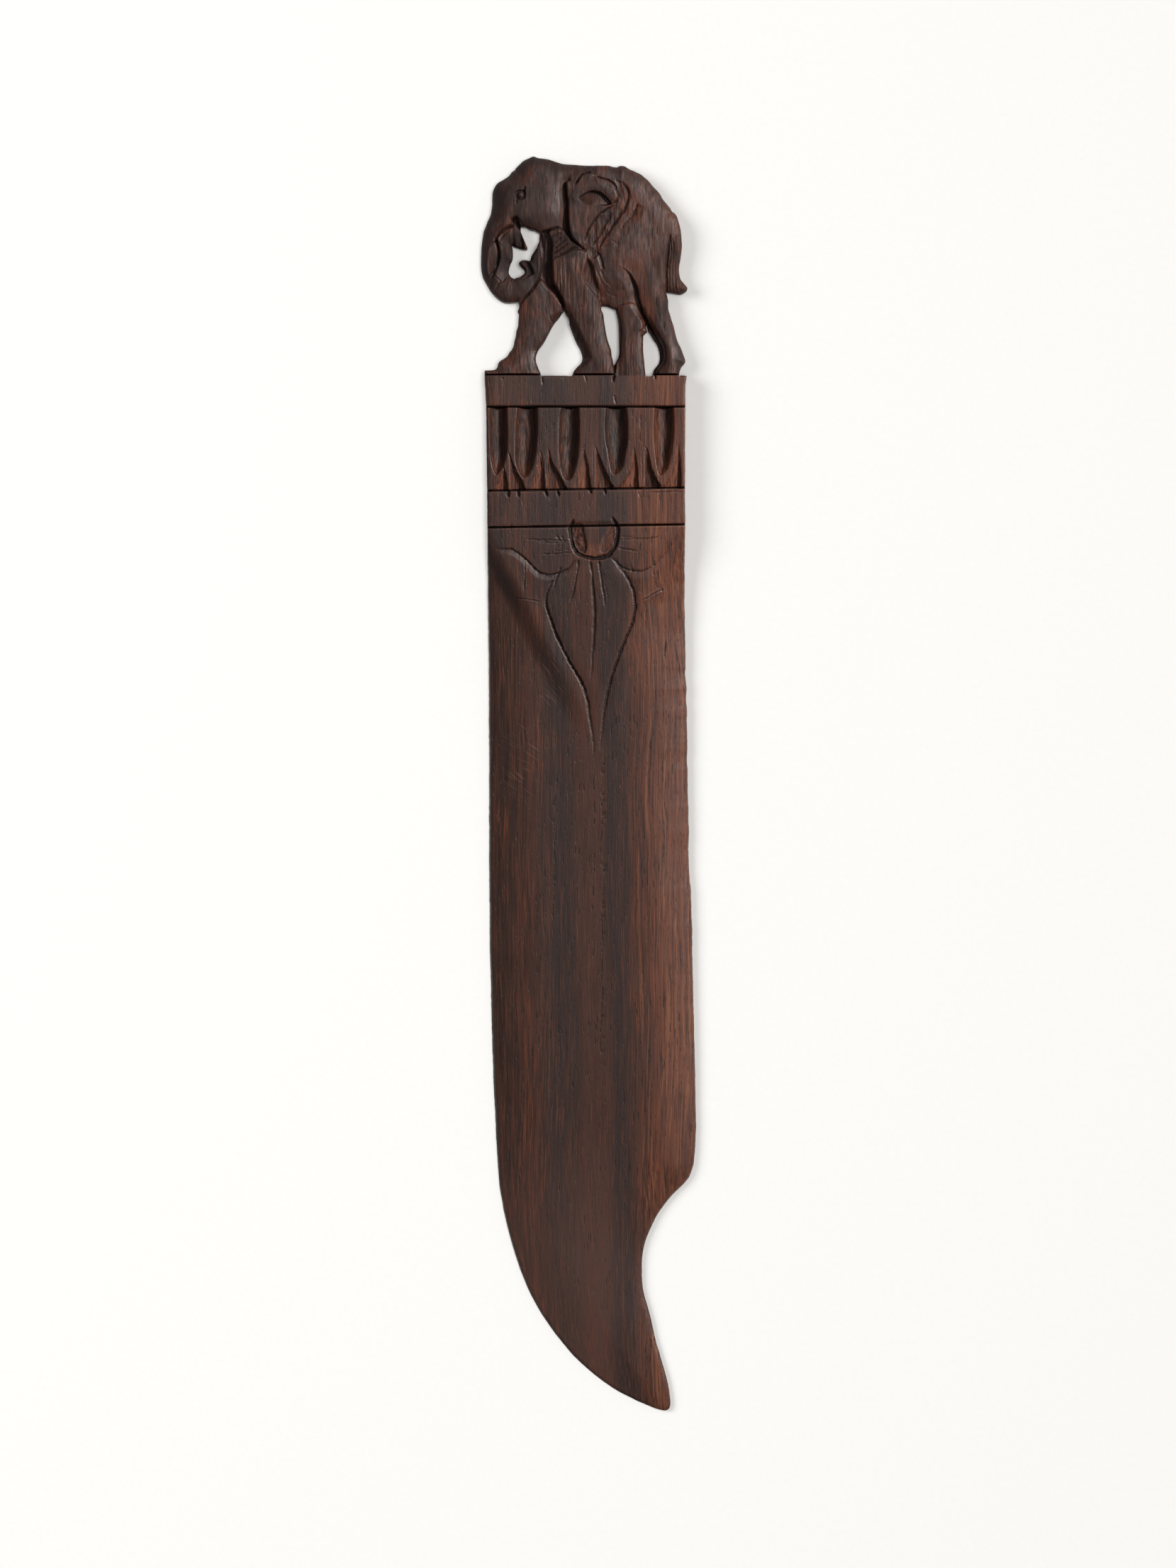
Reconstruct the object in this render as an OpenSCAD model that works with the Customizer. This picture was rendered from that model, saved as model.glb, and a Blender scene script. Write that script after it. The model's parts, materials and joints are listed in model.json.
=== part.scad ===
// Paper knife carved from one slat of dark tropical hardwood, with an openwork
// walking elephant at its end. It lies flat on its plain back:
//   +X across the slat, +Y towards the elephant, +Z out of the carved face.
// The origin is on the back, under the middle of the outline's box.
// The one piece of wood is divided where the carver's saw lines run across it,
// so each carved zone is a sub-part and neighbours meet face to face.

/* [Overall] */
// Length from the blade's tip to the top of the elephant's head
overall_l = 250; // [200:1:300]
// Thickness of the slat at the bands
slat_t = 5; // [4:0.1:7]

/* [Saw lines] */
// Width of the saw lines across the carved face
kerf_w = 0.4; // [0.2:0.05:0.6]
// Depth of the saw lines
kerf_d = 0.8; // [0.4:0.1:1.2]

/* [Elephant] */
// Height of the far legs and of the neck hollow, as a share of the slat
far_share = 0.6; // [0.45:0.01:0.7]
// Height of the body and the trunk, as a share of the slat
body_share = 0.82; // [0.75:0.01:0.9]
// Height of the near legs, as a share of the slat
near_share = 0.92; // [0.9:0.01:0.97]
// Depth of the carved grooves
groove_d = 0.5; // [0.2:0.05:0.8]

/* [Tongue frieze] */
// Radius of the gouge that cuts the tongues
gouge_r = 2.6; // [2.3:0.05:3]
// Depth of the tongues
gouge_d = 1.9; // [1:0.1:2.2]
// Depth of the triangular chip cuts between the tongues
chip_d = 0.9; // [0.4:0.1:1.5]

/* [Blade] */
// Thickness of the blade half way along, as a share of the slat
blade_share = 0.66; // [0.5:0.01:0.8]
// Thickness of the blade at its tip
tip_t = 1.6; // [1:0.1:2]
// Thickness of the blade's working edges
edge_t = 1.2; // [0.8:0.1:1.5]
// Depth of the engraved flower
flower_d = 0.4; // [0.2:0.05:0.7]

/* [Hidden] */

s = overall_l / 250;
far_z = slat_t * far_share;
body_z = slat_t * body_share;
near_z = slat_t * near_share;
dark = [0.17, 0.115, 0.10];
mid = [0.22, 0.155, 0.135];
warm = [0.25, 0.175, 0.15];

// ---- curves ---------------------------------------------------------------

// Catmull-Rom point between b and c
function cr(a, b, c, d, t) = 0.5 * (2 * b + (c - a) * t
    + (2 * a - 5 * b + 4 * c - d) * t * t
    + (3 * b - a - 3 * c + d) * t * t * t);

// smooth closed curve through the points p, n steps for each span
function loop(p, n = 2) = [for (i = [0:len(p) - 1]) for (k = [0:n - 1])
    cr(p[(i - 1 + len(p)) % len(p)], p[i], p[(i + 1) % len(p)], p[(i + 2) % len(p)], k / n)];

// smooth open curve through the points p, n steps for each span
function run(p, n = 2) = concat([for (i = [0:len(p) - 2]) for (k = [0:n - 1])
    cr(p[max(i - 1, 0)], p[i], p[i + 1], p[min(i + 2, len(p) - 1)], k / n)], [p[len(p) - 1]]);

// outline of a groove of width w along the open curve p, pointed at both ends
function side(p, i) = let (d = p[min(i + 1, len(p) - 1)] - p[max(i - 1, 0)])
    [-d[1], d[0]] / max(norm(d), 0.001);
function taper(i, n) = min(1, 0.15 + 3.4 * min(i, n - i) / n);
function stroke(p, w) = let (n = len(p) - 1) concat(
    [for (i = [0:n]) p[i] + side(p, i) * w / 2 * taper(i, n)],
    [for (i = [n:-1:0]) p[i] - side(p, i) * w / 2 * taper(i, n)]);

function grow(p) = [for (q = p) q * s];

// a flat-topped layer from z0 to z1 with the outline p
module slab(p, z0, z1) { translate([0, 0, z0]) linear_extrude(z1 - z0) polygon(grow(p)); }
// an engraved line of width w and depth d below the height z
module line(p, w, z, d) { translate([0, 0, z - d]) linear_extrude(d + 2) polygon(grow(stroke(run(p, 3), w))); }

// ---- saw lines: [y at the left edge, y at the right edge] ---------------------

k1 = [81.2, 81.2];
k2 = [75, 75];
k3 = [58.3, 58.9];
k4 = [51, 51.6];
x_l = -20;
x_r = 19;
function ky(k, x) = k[0] + (k[1] - k[0]) * (x - x_l) / (x_r - x_l);

// left and right edges of the slat, [y, x]
left_edge = [[-125, 15.2], [-124.7, 13.9], [-124, 12.2], [-122.6, 8.8], [-120.5, 5], [-117.6, 0.9],
    [-114.2, -2.8], [-110, -6.3], [-105.7, -9.4], [-100.5, -12.1], [-94.5, -14.4], [-88.5, -16.1],
    [-81.5, -17.5], [-75, -18.1], [-60, -18.9], [-48, -19.3], [-33, -19.6], [-15, -19.8],
    [10, -19.9], [35, -20.1], [58, -20.2], [75, -20.4], [82, -20.7]];
right_edge = [[-125, 15.4], [-124.6, 16], [-123.5, 16.3], [-122, 16.2], [-119.7, 15.8], [-116.3, 14.9],
    [-113.5, 14.1], [-110.5, 13.2], [-106.5, 12.4], [-103, 11.4], [-100, 10.8], [-96.5, 10.6],
    [-93.5, 10.8], [-91, 11.4], [-88, 12.5], [-85.8, 13.7], [-83.5, 15.3], [-81.5, 17],
    [-79.7, 19], [-78, 20.2], [-76, 20.9], [-74.5, 21.1], [-71, 21.3], [-69, 21.4],
    [-57.5, 21.2], [-45, 20.9], [-38, 20.7], [-29, 20.6], [-21, 20.3], [-13, 19.9],
    [0, 19.7], [19, 19.5], [30, 19.2], [51, 19.2], [78, 19.2], [81, 19.5]];
function xl(y) = lookup(y, left_edge);
function xr(y) = lookup(y, right_edge);

// a block of the slat between two saw lines
module band(ka, kb) {
    slab([[xl(ka[0]), ka[0]], [xr(ka[1]), ka[1]], [xr(kb[1]), kb[1]], [xl(kb[0]), kb[0]]], 0, slat_t);
}
// the half of a saw line that lies on one side of its middle, across the face
module kerf(k, dir) {
    h = dir * kerf_w / 2 / s;
    slab([[-24, ky(k, -24) - dir], [24, ky(k, 24) - dir], [24, ky(k, 24) + h], [-24, ky(k, -24) + h]],
        slat_t - kerf_d, slat_t + 1);
}

// ---- elephant ---------------------------------------------------------------

// outer line, from the left foot up the trunk, over the back and down the tail
head_and_back = [[-19.2, 82.3], [-18.2, 83], [-17.5, 84.3], [-16.2, 85.1], [-15.3, 86.4], [-14.8, 88.2],
    [-14.4, 90], [-14, 92], [-14, 94.5], [-14.1, 95.8], [-15.2, 95.9], [-16.8, 95.9], [-18, 96.5],
    [-19.2, 97.8], [-20.3, 99.6], [-21.1, 101.4], [-21.4, 103.5], [-21.4, 106], [-21.1, 108.8],
    [-20.6, 111], [-19.6, 113.3], [-19.2, 115.6], [-19.1, 117.8], [-18.3, 119.5], [-17, 120.4],
    [-15.7, 121.3], [-14.5, 122.7], [-13, 124.1], [-11, 125], [-9, 124.6], [-6.6, 124], [-4, 123.4],
    [0, 123.1], [4, 123.1], [6.5, 123.1], [9, 122], [11, 120.9], [13, 118.8], [14.6, 116.7],
    [16.2, 114.7], [17.6, 112.8], [18.3, 110.2], [18.5, 107.5], [18.2, 104.5], [18, 102.2],
    [18.5, 100.2], [19.6, 98.8], [18.9, 97.8], [17.5, 97.6], [15.7, 97.7], [15.8, 95.5], [16.5, 92.2],
    [17.2, 89.7], [18.1, 87.2], [19.2, 84.3], [18.5, 83.1], [18.1, 81.2]];
// the gap between the two hind legs, open at the plinth
hind_gap = [[12.9, 81.2], [13.1, 82.5], [14, 83.7], [14.2, 85], [13.8, 87], [12.9, 88.6], [11.8, 90.4],
    [11.4, 91.4], [11.6, 90], [10.9, 89.3], [10.8, 87], [11, 84], [11.2, 81.2]];
// the gap between the two front legs, open at the plinth
front_gap = [[-3.1, 81.2], [-2.6, 82.6], [-1.6, 83.7], [-1.3, 85], [-2, 87], [-3.1, 89.4], [-3.8, 91.8],
    [-4.3, 93.1], [-4.9, 94.2], [-6, 92.8], [-7.3, 91], [-8.6, 88.7], [-10, 86.5], [-10.6, 84.8],
    [-10.2, 83.1], [-9.6, 81.2]];
// the hole under the belly
belly_gap = [[2.6, 95.1], [3.9, 95], [5.3, 94.5], [5.8, 92.5], [6.1, 89.5], [6.1, 86], [5.6, 84.2],
    [5, 83.4], [4.6, 85.2], [4.1, 87.5], [3.4, 90.3], [2.9, 93.3], [2.5, 94.4]];
// the hole inside the curl of the trunk, with the tusk and the trunk's finger
trunk_gap = [[-13.4, 110.9], [-11.8, 110.4], [-9.8, 109.7], [-9.8, 108], [-10.3, 106.6], [-11.3, 105.2],
    [-11.8, 104.2], [-13.2, 104.2], [-13.7, 103.5], [-12.8, 102.3], [-12.9, 101.4], [-14, 100.8],
    [-15, 100.6], [-15.8, 101.5], [-15.9, 102.8], [-15.2, 104.5], [-15.1, 106], [-15.3, 107.2],
    [-14, 106.7], [-12.4, 106.5], [-12.5, 107.4], [-13.2, 109]];

outline = concat([[-20.7, 81.2], [-20.7, 82.3]], run(head_and_back, 2), run(hind_gap, 2), run(front_gap, 2));

// the near side of the animal without its far legs
near_body = [[-13.4, 123.2], [-11, 124.4], [-7, 123.4], [-4, 122.8], [0, 122.5], [4, 122.5], [6.5, 122.4],
    [8.8, 121.4], [10.6, 120.4], [12.6, 118.3], [14.2, 116.2], [15.8, 114.2], [17, 112.4], [17.7, 110],
    [17.9, 107.5], [17.6, 104.5], [17.4, 102], [17.8, 100.2], [18.6, 98.9], [17, 98.3], [15.2, 98.4],
    [15, 96], [12, 95.4], [8, 95.8], [5.2, 95.2], [3, 95.8], [1.6, 98], [0, 100.2], [-1.6, 102.4],
    [-4.5, 103.4], [-7, 104.6], [-7.2, 107], [-7.2, 109.4], [-9.4, 110.4], [-11.8, 111], [-13.4, 111.5],
    [-15.6, 110.6], [-15.8, 107.6], [-15.7, 105], [-16.4, 103.2], [-16.4, 101.2], [-15.2, 100],
    [-13.6, 100.1], [-12.4, 101], [-12.1, 102.2], [-11.6, 103.5], [-10.8, 103], [-10.2, 101.6],
    [-11.2, 99.4], [-12.4, 97.8], [-14, 96.6], [-16.6, 96.6], [-18.4, 97.5], [-19.8, 99.8],
    [-20.6, 101.8], [-20.8, 103.8], [-20.8, 106], [-20.5, 108.7], [-20, 110.8], [-19, 113],
    [-18.6, 115.6], [-18.5, 117.6], [-17.8, 119], [-16.6, 119.9], [-15.2, 120.8], [-14.2, 122]];
near_front_leg = [[-7.2, 104.4], [-7.1, 101.2], [-6.6, 98.8], [-5.6, 97], [-4.8, 94.8], [-4.2, 93.9],
    [-3.3, 92], [-2.6, 89.6], [-1.4, 87], [-0.8, 84.9], [-1.2, 83.6], [-2.2, 82.6], [-2.6, 81.2],
    [4.6, 81.2], [4.6, 83], [4.1, 85], [3.6, 87.3], [2.8, 90.2], [2.3, 93.2], [2, 95.4], [1, 97.4],
    [0, 99], [-1, 100.4], [-0.6, 103.6], [-2.6, 105.6], [-5, 105.6]];
near_hind_leg = [[6.5, 103], [8.6, 101.1], [9.8, 98.4], [10.2, 96.2], [11, 93.8], [12.2, 91.6],
    [13.3, 89.7], [14.2, 87.9], [14.8, 85.6], [14.4, 83.4], [13.5, 82.4], [13.3, 81.2], [17.6, 81.2],
    [18, 83.2], [18.6, 84.5], [17.6, 87], [16.7, 89.6], [16, 92.1], [15.3, 94.4], [15, 97],
    [16.2, 100], [16.6, 104], [16, 108], [13, 110.5], [9, 109]];
ear = [[-4.4, 119.6], [-4.2, 116.5], [-4.1, 113], [-3.7, 109.6], [-2.4, 107.6], [-1.2, 106.7],
    [-0.6, 109], [0.8, 111.6], [2.4, 113.4], [4.6, 115], [5.7, 116.6], [5.3, 119], [4, 120],
    [2, 120.6], [0.2, 121.4], [-1.4, 121], [-2.6, 119.8]];
head = [[-13.2, 122.6], [-11, 123.6], [-8, 123], [-5.4, 121.8], [-5, 118.5], [-4.8, 113], [-6.4, 110.8],
    [-9.4, 110.8], [-12.8, 111.8], [-14.8, 113.6], [-16.6, 115], [-17.6, 117.2], [-16.4, 119.2],
    [-14.6, 120.8]];

module elephant_finial() color(dark) difference() {
    union() {
        difference() {
            slab(outline, 0, far_z);
            slab(loop(belly_gap, 2), -1, slat_t);
            slab(loop(trunk_gap, 2), -1, slat_t);
        }
        slab(loop(near_body, 2), far_z * 0.6, body_z);
        slab(loop(head, 2), far_z * 0.7, near_z);
        slab(concat(run([for (i = [0:12]) near_front_leg[i]], 2), run([for (i = [13:25]) near_front_leg[i]], 2)),
            far_z * 0.8, near_z - 0.05);
        slab(concat(run([for (i = [0:11]) near_hind_leg[i]], 2), run([for (i = [12:24]) near_hind_leg[i]], 2)),
            far_z * 0.9, near_z - 0.1);
        slab(loop(ear, 2), body_z - 1, slat_t);
    }
    // saw line under the feet, just above the plinth
    slab([[-24, 80], [24, 80], [24, 81.2 + kerf_w / s], [-24, 81.2 + kerf_w / s]], slat_t - kerf_d * 2.6, slat_t + 1);
    // fold inside the ear
    line([[-1.9, 116.4], [-0.9, 117.5], [0.9, 118], [2.8, 117.4], [4.5, 115.6]], 0.9, slat_t, groove_d);
    // hollow round the back of the ear
    line([[7, 119.3], [8, 116.9], [6.4, 113.5], [4.2, 110.2], [2.4, 107.2], [2.3, 105.4]], 0.9, body_z, groove_d);
    // lines of the neck
    line([[-6.9, 104.8], [-5, 105.6], [-3, 106.8]], 0.5, near_z - 0.05, groove_d);
    line([[-6.8, 105.8], [-5.4, 106.8], [-4.2, 107.6]], 0.5, body_z, groove_d);
    // ring round the eye
    translate([-13.6, 117.2, near_z - 0.3] * s) rotate_extrude($fn = 24) translate([0.6 * s, 0]) square([0.4 * s, 2]);
    // hollow of the trunk
    line([[-18, 108.4], [-17.8, 106], [-18.2, 103.2], [-19, 101.6]], 0.8, body_z, groove_d);
    line([[-15.7, 110.3], [-16.9, 110.2], [-18.2, 109]], 0.5, body_z, groove_d);
    // hairs of the tail
    line([[16.4, 108.5], [15.9, 106], [15.7, 103], [15.6, 99.5]], 0.5, near_z - 0.1, groove_d + 0.3);
}

// ---- bands ----------------------------------------------------------------

module plinth_band() color(mid) difference() {
    band(k2, k1);
    kerf(k2, 1);
}

// [x of the middle, y of the round end] of each tongue
tongues = [[-18, 62], [-12.4, 61.3], [-3.9, 60.9], [5.5, 61.8], [14.9, 61.5]];
// [base from, base to, apex x, apex y] of each chip cut
chips = [[-19, -17, -17, 63.2], [-16, -13.1, -15.8, 65.9], [-11.6, -8.8, -9.6, 66.2], [-8.2, -4.4, -8, 66.6],
    [-3.6, 0.4, -1.1, 66.8], [1.4, 4.6, 1.3, 67], [5.7, 9.8, 9, 67], [11, 13.9, 11.2, 67.1],
    [15.6, 18.2, 17.6, 67.5]];

module tongue(c) {
    r = gouge_r * s;
    translate([c[0] * s, c[1] * s + r * 0.8, slat_t - gouge_d + r]) {
        rotate([-90, 0, 0]) cylinder(r = r, h = 30 * s, $fn = 32);
        sphere(r = r, $fn = 32);
    }
}
module chip(c) {
    slab([[c[0], ky(k3, c[0]) - 1], [c[1], ky(k3, c[1]) - 1], [c[1], ky(k3, c[1]) + 0.3], [c[2], c[3]],
        [c[0], ky(k3, c[0]) + 0.3]], slat_t - chip_d, slat_t + 1);
}

module tongue_frieze() color(dark) difference() {
    band(k3, k2);
    kerf(k3, 1);
    kerf(k2, -1);
    for (c = tongues) tongue(c);
    for (c = chips) chip(c);
}

module collar_band() color(mid) difference() {
    band(k4, k3);
    kerf(k4, 1);
    kerf(k3, -1);
}

// ---- blade ----------------------------------------------------------------

// y of the sections below the collar
stations = [47.5, 43.5, 40, 36, 32, 28, 24, 20, 16, 10, 0, -12, -25, -38, -50, -60, -69, -73, -76.5, -78.5,
    -80.5, -82.5, -85, -88, -91.5, -96, -100.5, -104.5, -109, -113, -116.5, -119.5, -122, -123.7, -124.7, -125];
// thickness of the blade away from the flower
function plain_t(y) = lookup(y, [[-125, tip_t * 0.75], [-118, tip_t], [-95, (tip_t + slat_t * blade_share) / 2],
    [-60, slat_t * blade_share * 0.92], [0, slat_t * blade_share], [36, slat_t * (blade_share + 0.04)],
    [44, slat_t * (blade_share + 0.2)], [50, slat_t * 0.98], [52, slat_t]]);
// thickness of the raised panel that holds the flower
function crest_t(y) = max(plain_t(y), lookup(y, [[8, slat_t * blade_share], [16, slat_t * 0.74],
    [36, slat_t * 0.95], [44, slat_t], [52, slat_t]]));
function edge_l(y) = lookup(y, [[-125, edge_t * 0.6], [-110, edge_t * 0.8], [-60, edge_t * 1.3], [10, edge_t * 1.6],
    [36, slat_t * 0.6], [46, slat_t * 0.85], [50, slat_t * 0.96], [52, slat_t]]);
function edge_r(y) = lookup(y, [[-125, edge_t * 0.6], [-60, edge_t], [10, edge_t * 1.2],
    [40, slat_t * 0.5], [48, slat_t * 0.8], [50, slat_t * 0.95], [52, slat_t]]);
// the crest of the section runs from a to b, and narrows from the collar down
function crest_a(y) = lookup(y, [[-125, 14.8], [-122, 10.5], [-118, 5.5], [-110, -1.5], [-100, -6], [-90, -9], [-76, -11], [-60, -12],
    [8, -6], [16, -3.4], [24, -7.4], [28.5, -10.4], [36, -14.2], [44, -17.8], [48, -19.3]]);
function crest_b(y) = lookup(y, [[-125, 15.3], [-122, 14.6], [-118, 13.2], [-110, 10.5], [-100, 7.6], [-90, 7.6], [-84, 10], [-78, 13], [-60, 14], [8, 5],
    [16, 4.4], [28, 8.2], [36, 10.6], [44, 14.6], [48, 17.6]]);

// one section, from the left edge over the face to the right edge, then the back
function section(y, yl, yr) = let (a = xl(yl), b = xr(yr), p = max(crest_a(y), a + 0.05), q = min(crest_b(y), b - 0.05),
    f = min(3, (p - a) / 2), g = min(3, (b - q) / 2))
    [for (v = [[a, 0], [a, edge_l(y)], [p - f, min(plain_t(y), crest_t(y)) * 0.98], [p, crest_t(y)], [q, crest_t(y)],
        [q + g, min(plain_t(y), crest_t(y)) * 0.98], [b, edge_r(y)], [b, 0]])
        [v[0] * s, (yl + (yr - yl) * (v[0] - a) / (b - a)) * s, v[1]]];

module blade_blank() {
    top = [for (v = [[xl(51), 0], [xl(51), slat_t], [-19.8, slat_t], [-19.6, slat_t], [18.6, slat_t],
        [18.8, slat_t], [xr(51.6), slat_t], [xr(51.6), 0]]) [v[0] * s, ky(k4, v[0]) * s, v[1]]];
    rings = concat([top], [for (y = stations) section(y, y, y)]);
    n = len(rings);
    polyhedron(points = [for (r = rings) for (v = r) v],
        faces = concat([[for (i = [0:7]) i]],
            [for (j = [0:n - 2]) for (i = [0:7]) for (f = [[j * 8 + i, (j + 1) * 8 + i, j * 8 + (i + 1) % 8],
                [j * 8 + (i + 1) % 8, (j + 1) * 8 + i, (j + 1) * 8 + (i + 1) % 8]]) f],
            [[for (i = [7:-1:0]) (n - 1) * 8 + i]]));
}

ring = [[-3.4, 51.6], [-3.6, 49.5], [-3.1, 47.4], [-2, 45.9], [0, 45.1], [2, 44.9], [3.8, 45.5], [5, 46.8],
    [5.7, 48.6], [5.8, 50.4], [5.5, 51.8]];
petal_left = [[-5.9, 42], [-7.6, 39.8], [-8.4, 36.6], [-7.2, 31.8], [-5.6, 28], [-3.6, 24], [-1.6, 20.5],
    [-0.4, 17.4], [0.3, 13], [0.8, 9.2], [1, 6]];
petal_right = [[4.5, 45], [6.4, 42.8], [8, 40.5], [9.1, 38], [9.3, 35.3], [8.6, 31.8], [7.2, 28.2], [5.6, 24.2],
    [4, 19.4], [3.2, 15.2], [2.6, 11], [2.2, 7]];
leaf_left = [[-18, 46.7], [-15.6, 46.6], [-13.4, 45.5], [-11.4, 43.6], [-9.8, 42.1], [-7.8, 41.6], [-5.8, 42],
    [-4, 43], [-2.8, 44.4]];
leaf_right = [[5.1, 44.4], [6.8, 43], [9, 42.4], [11.2, 42.6], [13.2, 43.8], [14.8, 45.4], [16.4, 47.6]];

module blade() color(warm) difference() {
    blade_blank();
    kerf(k4, -1);
    line(ring, 0.9, slat_t, flower_d + 0.2);
    line([for (i = [0:4]) petal_left[i]], 0.9, slat_t * 0.93, flower_d);
    line([for (i = [4:10]) petal_left[i]], 0.9, slat_t * 0.8, flower_d);
    line([for (i = [0:5]) petal_right[i]], 0.9, slat_t * 0.93, flower_d);
    line([for (i = [5:11]) petal_right[i]], 0.9, slat_t * 0.8, flower_d);
    line(leaf_left, 0.7, slat_t, flower_d);
    line(leaf_right, 0.7, slat_t, flower_d);
    line([[0.3, 44.2], [0.9, 40], [1.1, 34], [0.9, 28], [0.6, 22]], 0.6, slat_t * 0.95, flower_d);
}

elephant_finial();
plinth_band();
tongue_frieze();
collar_band();
blade();
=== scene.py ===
"""Looks of the carved paper knife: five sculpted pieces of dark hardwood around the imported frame.
Lengths inside the sculpting functions are millimetres in the row's frame; meshes are made in metres."""
import json
import math

import bpy
import numpy as np
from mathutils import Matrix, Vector
from mathutils.geometry import delaunay_2d_cdt

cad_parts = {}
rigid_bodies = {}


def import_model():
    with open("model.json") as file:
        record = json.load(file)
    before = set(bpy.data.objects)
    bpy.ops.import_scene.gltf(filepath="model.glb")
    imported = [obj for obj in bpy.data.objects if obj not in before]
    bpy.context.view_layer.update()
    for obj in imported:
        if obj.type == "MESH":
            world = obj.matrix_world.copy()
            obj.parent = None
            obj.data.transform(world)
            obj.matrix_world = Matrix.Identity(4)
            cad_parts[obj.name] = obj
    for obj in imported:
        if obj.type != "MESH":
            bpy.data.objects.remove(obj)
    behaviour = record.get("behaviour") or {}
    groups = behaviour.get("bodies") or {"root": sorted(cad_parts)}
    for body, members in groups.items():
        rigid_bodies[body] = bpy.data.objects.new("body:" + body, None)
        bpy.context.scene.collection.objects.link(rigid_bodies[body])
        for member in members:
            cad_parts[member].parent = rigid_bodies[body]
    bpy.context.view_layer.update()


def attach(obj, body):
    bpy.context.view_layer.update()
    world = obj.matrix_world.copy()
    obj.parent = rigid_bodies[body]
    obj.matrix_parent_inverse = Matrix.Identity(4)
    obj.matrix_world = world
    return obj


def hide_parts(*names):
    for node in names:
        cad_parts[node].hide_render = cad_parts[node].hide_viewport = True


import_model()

# ---- sculpting tools (numpy only) ----------------------------------------------
T = 5.0  # thickness of the slat at the bands


def spline(pts, closed=False, step=0.3, ease=0.85):
    """A smooth curve through the points."""
    p = np.asarray(pts, float)
    n = len(p)
    out = []
    for i in range(n if closed else n - 1):
        b, c = p[i], p[(i + 1) % n]
        a = p[i - 1] if closed else p[max(i - 1, 0)]
        d = p[(i + 2) % n] if closed else p[min(i + 2, n - 1)]
        k = max(1, int(math.ceil(np.hypot(*(c - b)) / step)))
        t = (np.arange(k) / k)[:, None]
        ma, mb = 0.5 * ease * (c - a), 0.5 * ease * (d - b)
        out.append((2 * t**3 - 3 * t**2 + 1) * b + (t**3 - 2 * t**2 + t) * ma + (3 * t**2 - 2 * t**3) * c + (t**3 - t**2) * mb)
    if not closed:
        out.append(p[-1:])
    return np.vstack(out)


def even(pts, closed, step):
    """The same line with points a fixed step apart; the given corners may be cut by less than a step."""
    p = np.asarray(pts, float)
    if closed:
        p = np.vstack([p, p[:1]])
    s = np.concatenate([[0], np.cumsum(np.hypot(*np.diff(p, axis=0).T))])
    n = max(2, int(round(s[-1] / step)))
    q = np.linspace(0, s[-1], n + 1)
    r = np.stack([np.interp(q, s, p[:, 0]), np.interp(q, s, p[:, 1])], 1)
    return r[:-1] if closed else r


def _near(P, A, B):
    """Distance from each point to the nearest segment, that segment, where on it, and the crossing count."""
    n = len(P)
    dist, seg, tt, cross = np.empty(n), np.empty(n, int), np.empty(n), np.empty(n, int)
    AB = B - A
    L2 = np.maximum((AB * AB).sum(1), 1e-12)
    step = max(1, int(3e6 // max(len(A), 1)))
    for s in range(0, n, step):
        px, py = P[s:s + step, 0:1], P[s:s + step, 1:2]
        ax, ay = px - A[:, 0], py - A[:, 1]
        t = np.clip((ax * AB[:, 0] + ay * AB[:, 1]) / L2, 0, 1)
        d2 = (ax - t * AB[:, 0]) ** 2 + (ay - t * AB[:, 1]) ** 2
        k = d2.argmin(1)
        r = np.arange(len(k))
        dist[s:s + step], seg[s:s + step], tt[s:s + step] = np.sqrt(d2[r, k]), k, t[r, k]
        up = (A[:, 1] <= py) != (B[:, 1] <= py)
        with np.errstate(divide="ignore", invalid="ignore"):
            hit = up & (px < AB[:, 0] * (py - A[:, 1]) / AB[:, 1] + A[:, 0])
        cross[s:s + step] = hit.sum(1)
    return dist, seg, tt, cross


def sd(P, poly, reach=4.0):
    """Signed distance to a closed line, positive inside; -reach or less far outside."""
    poly = np.asarray(poly, float)
    lo, hi = poly.min(0) - reach, poly.max(0) + reach
    m = ((P >= lo) & (P <= hi)).all(1)
    out = np.full(len(P), -float(reach))
    if m.any():
        d, _, _, c = _near(P[m], poly, np.roll(poly, -1, 0))
        out[m] = np.where(c % 2 == 1, d, -d)
    return out


def ld(P, line, reach=3.0):
    """Distance to an open line, how far along it (0 to 1), and on which side (+1 left of its direction)."""
    line = np.asarray(line, float)
    lo, hi = line.min(0) - reach, line.max(0) + reach
    m = ((P >= lo) & (P <= hi)).all(1)
    d, u, side = np.full(len(P), 99.0), np.zeros(len(P)), np.ones(len(P))
    if m.any():
        A, B = line[:-1], line[1:]
        dd, k, t, _ = _near(P[m], A, B)
        seg = np.hypot(*(B - A).T)
        s = np.concatenate([[0], np.cumsum(seg)])
        d[m], u[m] = dd, (s[k] + t * seg[k]) / s[-1]
        AB, AP = (B - A)[k], P[m] - A[k]
        side[m] = np.where(AB[:, 0] * AP[:, 1] - AB[:, 1] * AP[:, 0] >= 0, 1.0, -1.0)
    return d, u, side


def _hash(ix, iy, seed):
    h = (ix * 374761393 + iy * 668265263 + seed * 974634777) & 0xFFFFFFFF
    h = ((h ^ (h >> 13)) * 1274126177) & 0xFFFFFFFF
    h ^= h >> 16
    return (h & 0xFFFF) / 32767.5 - 1.0


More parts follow.
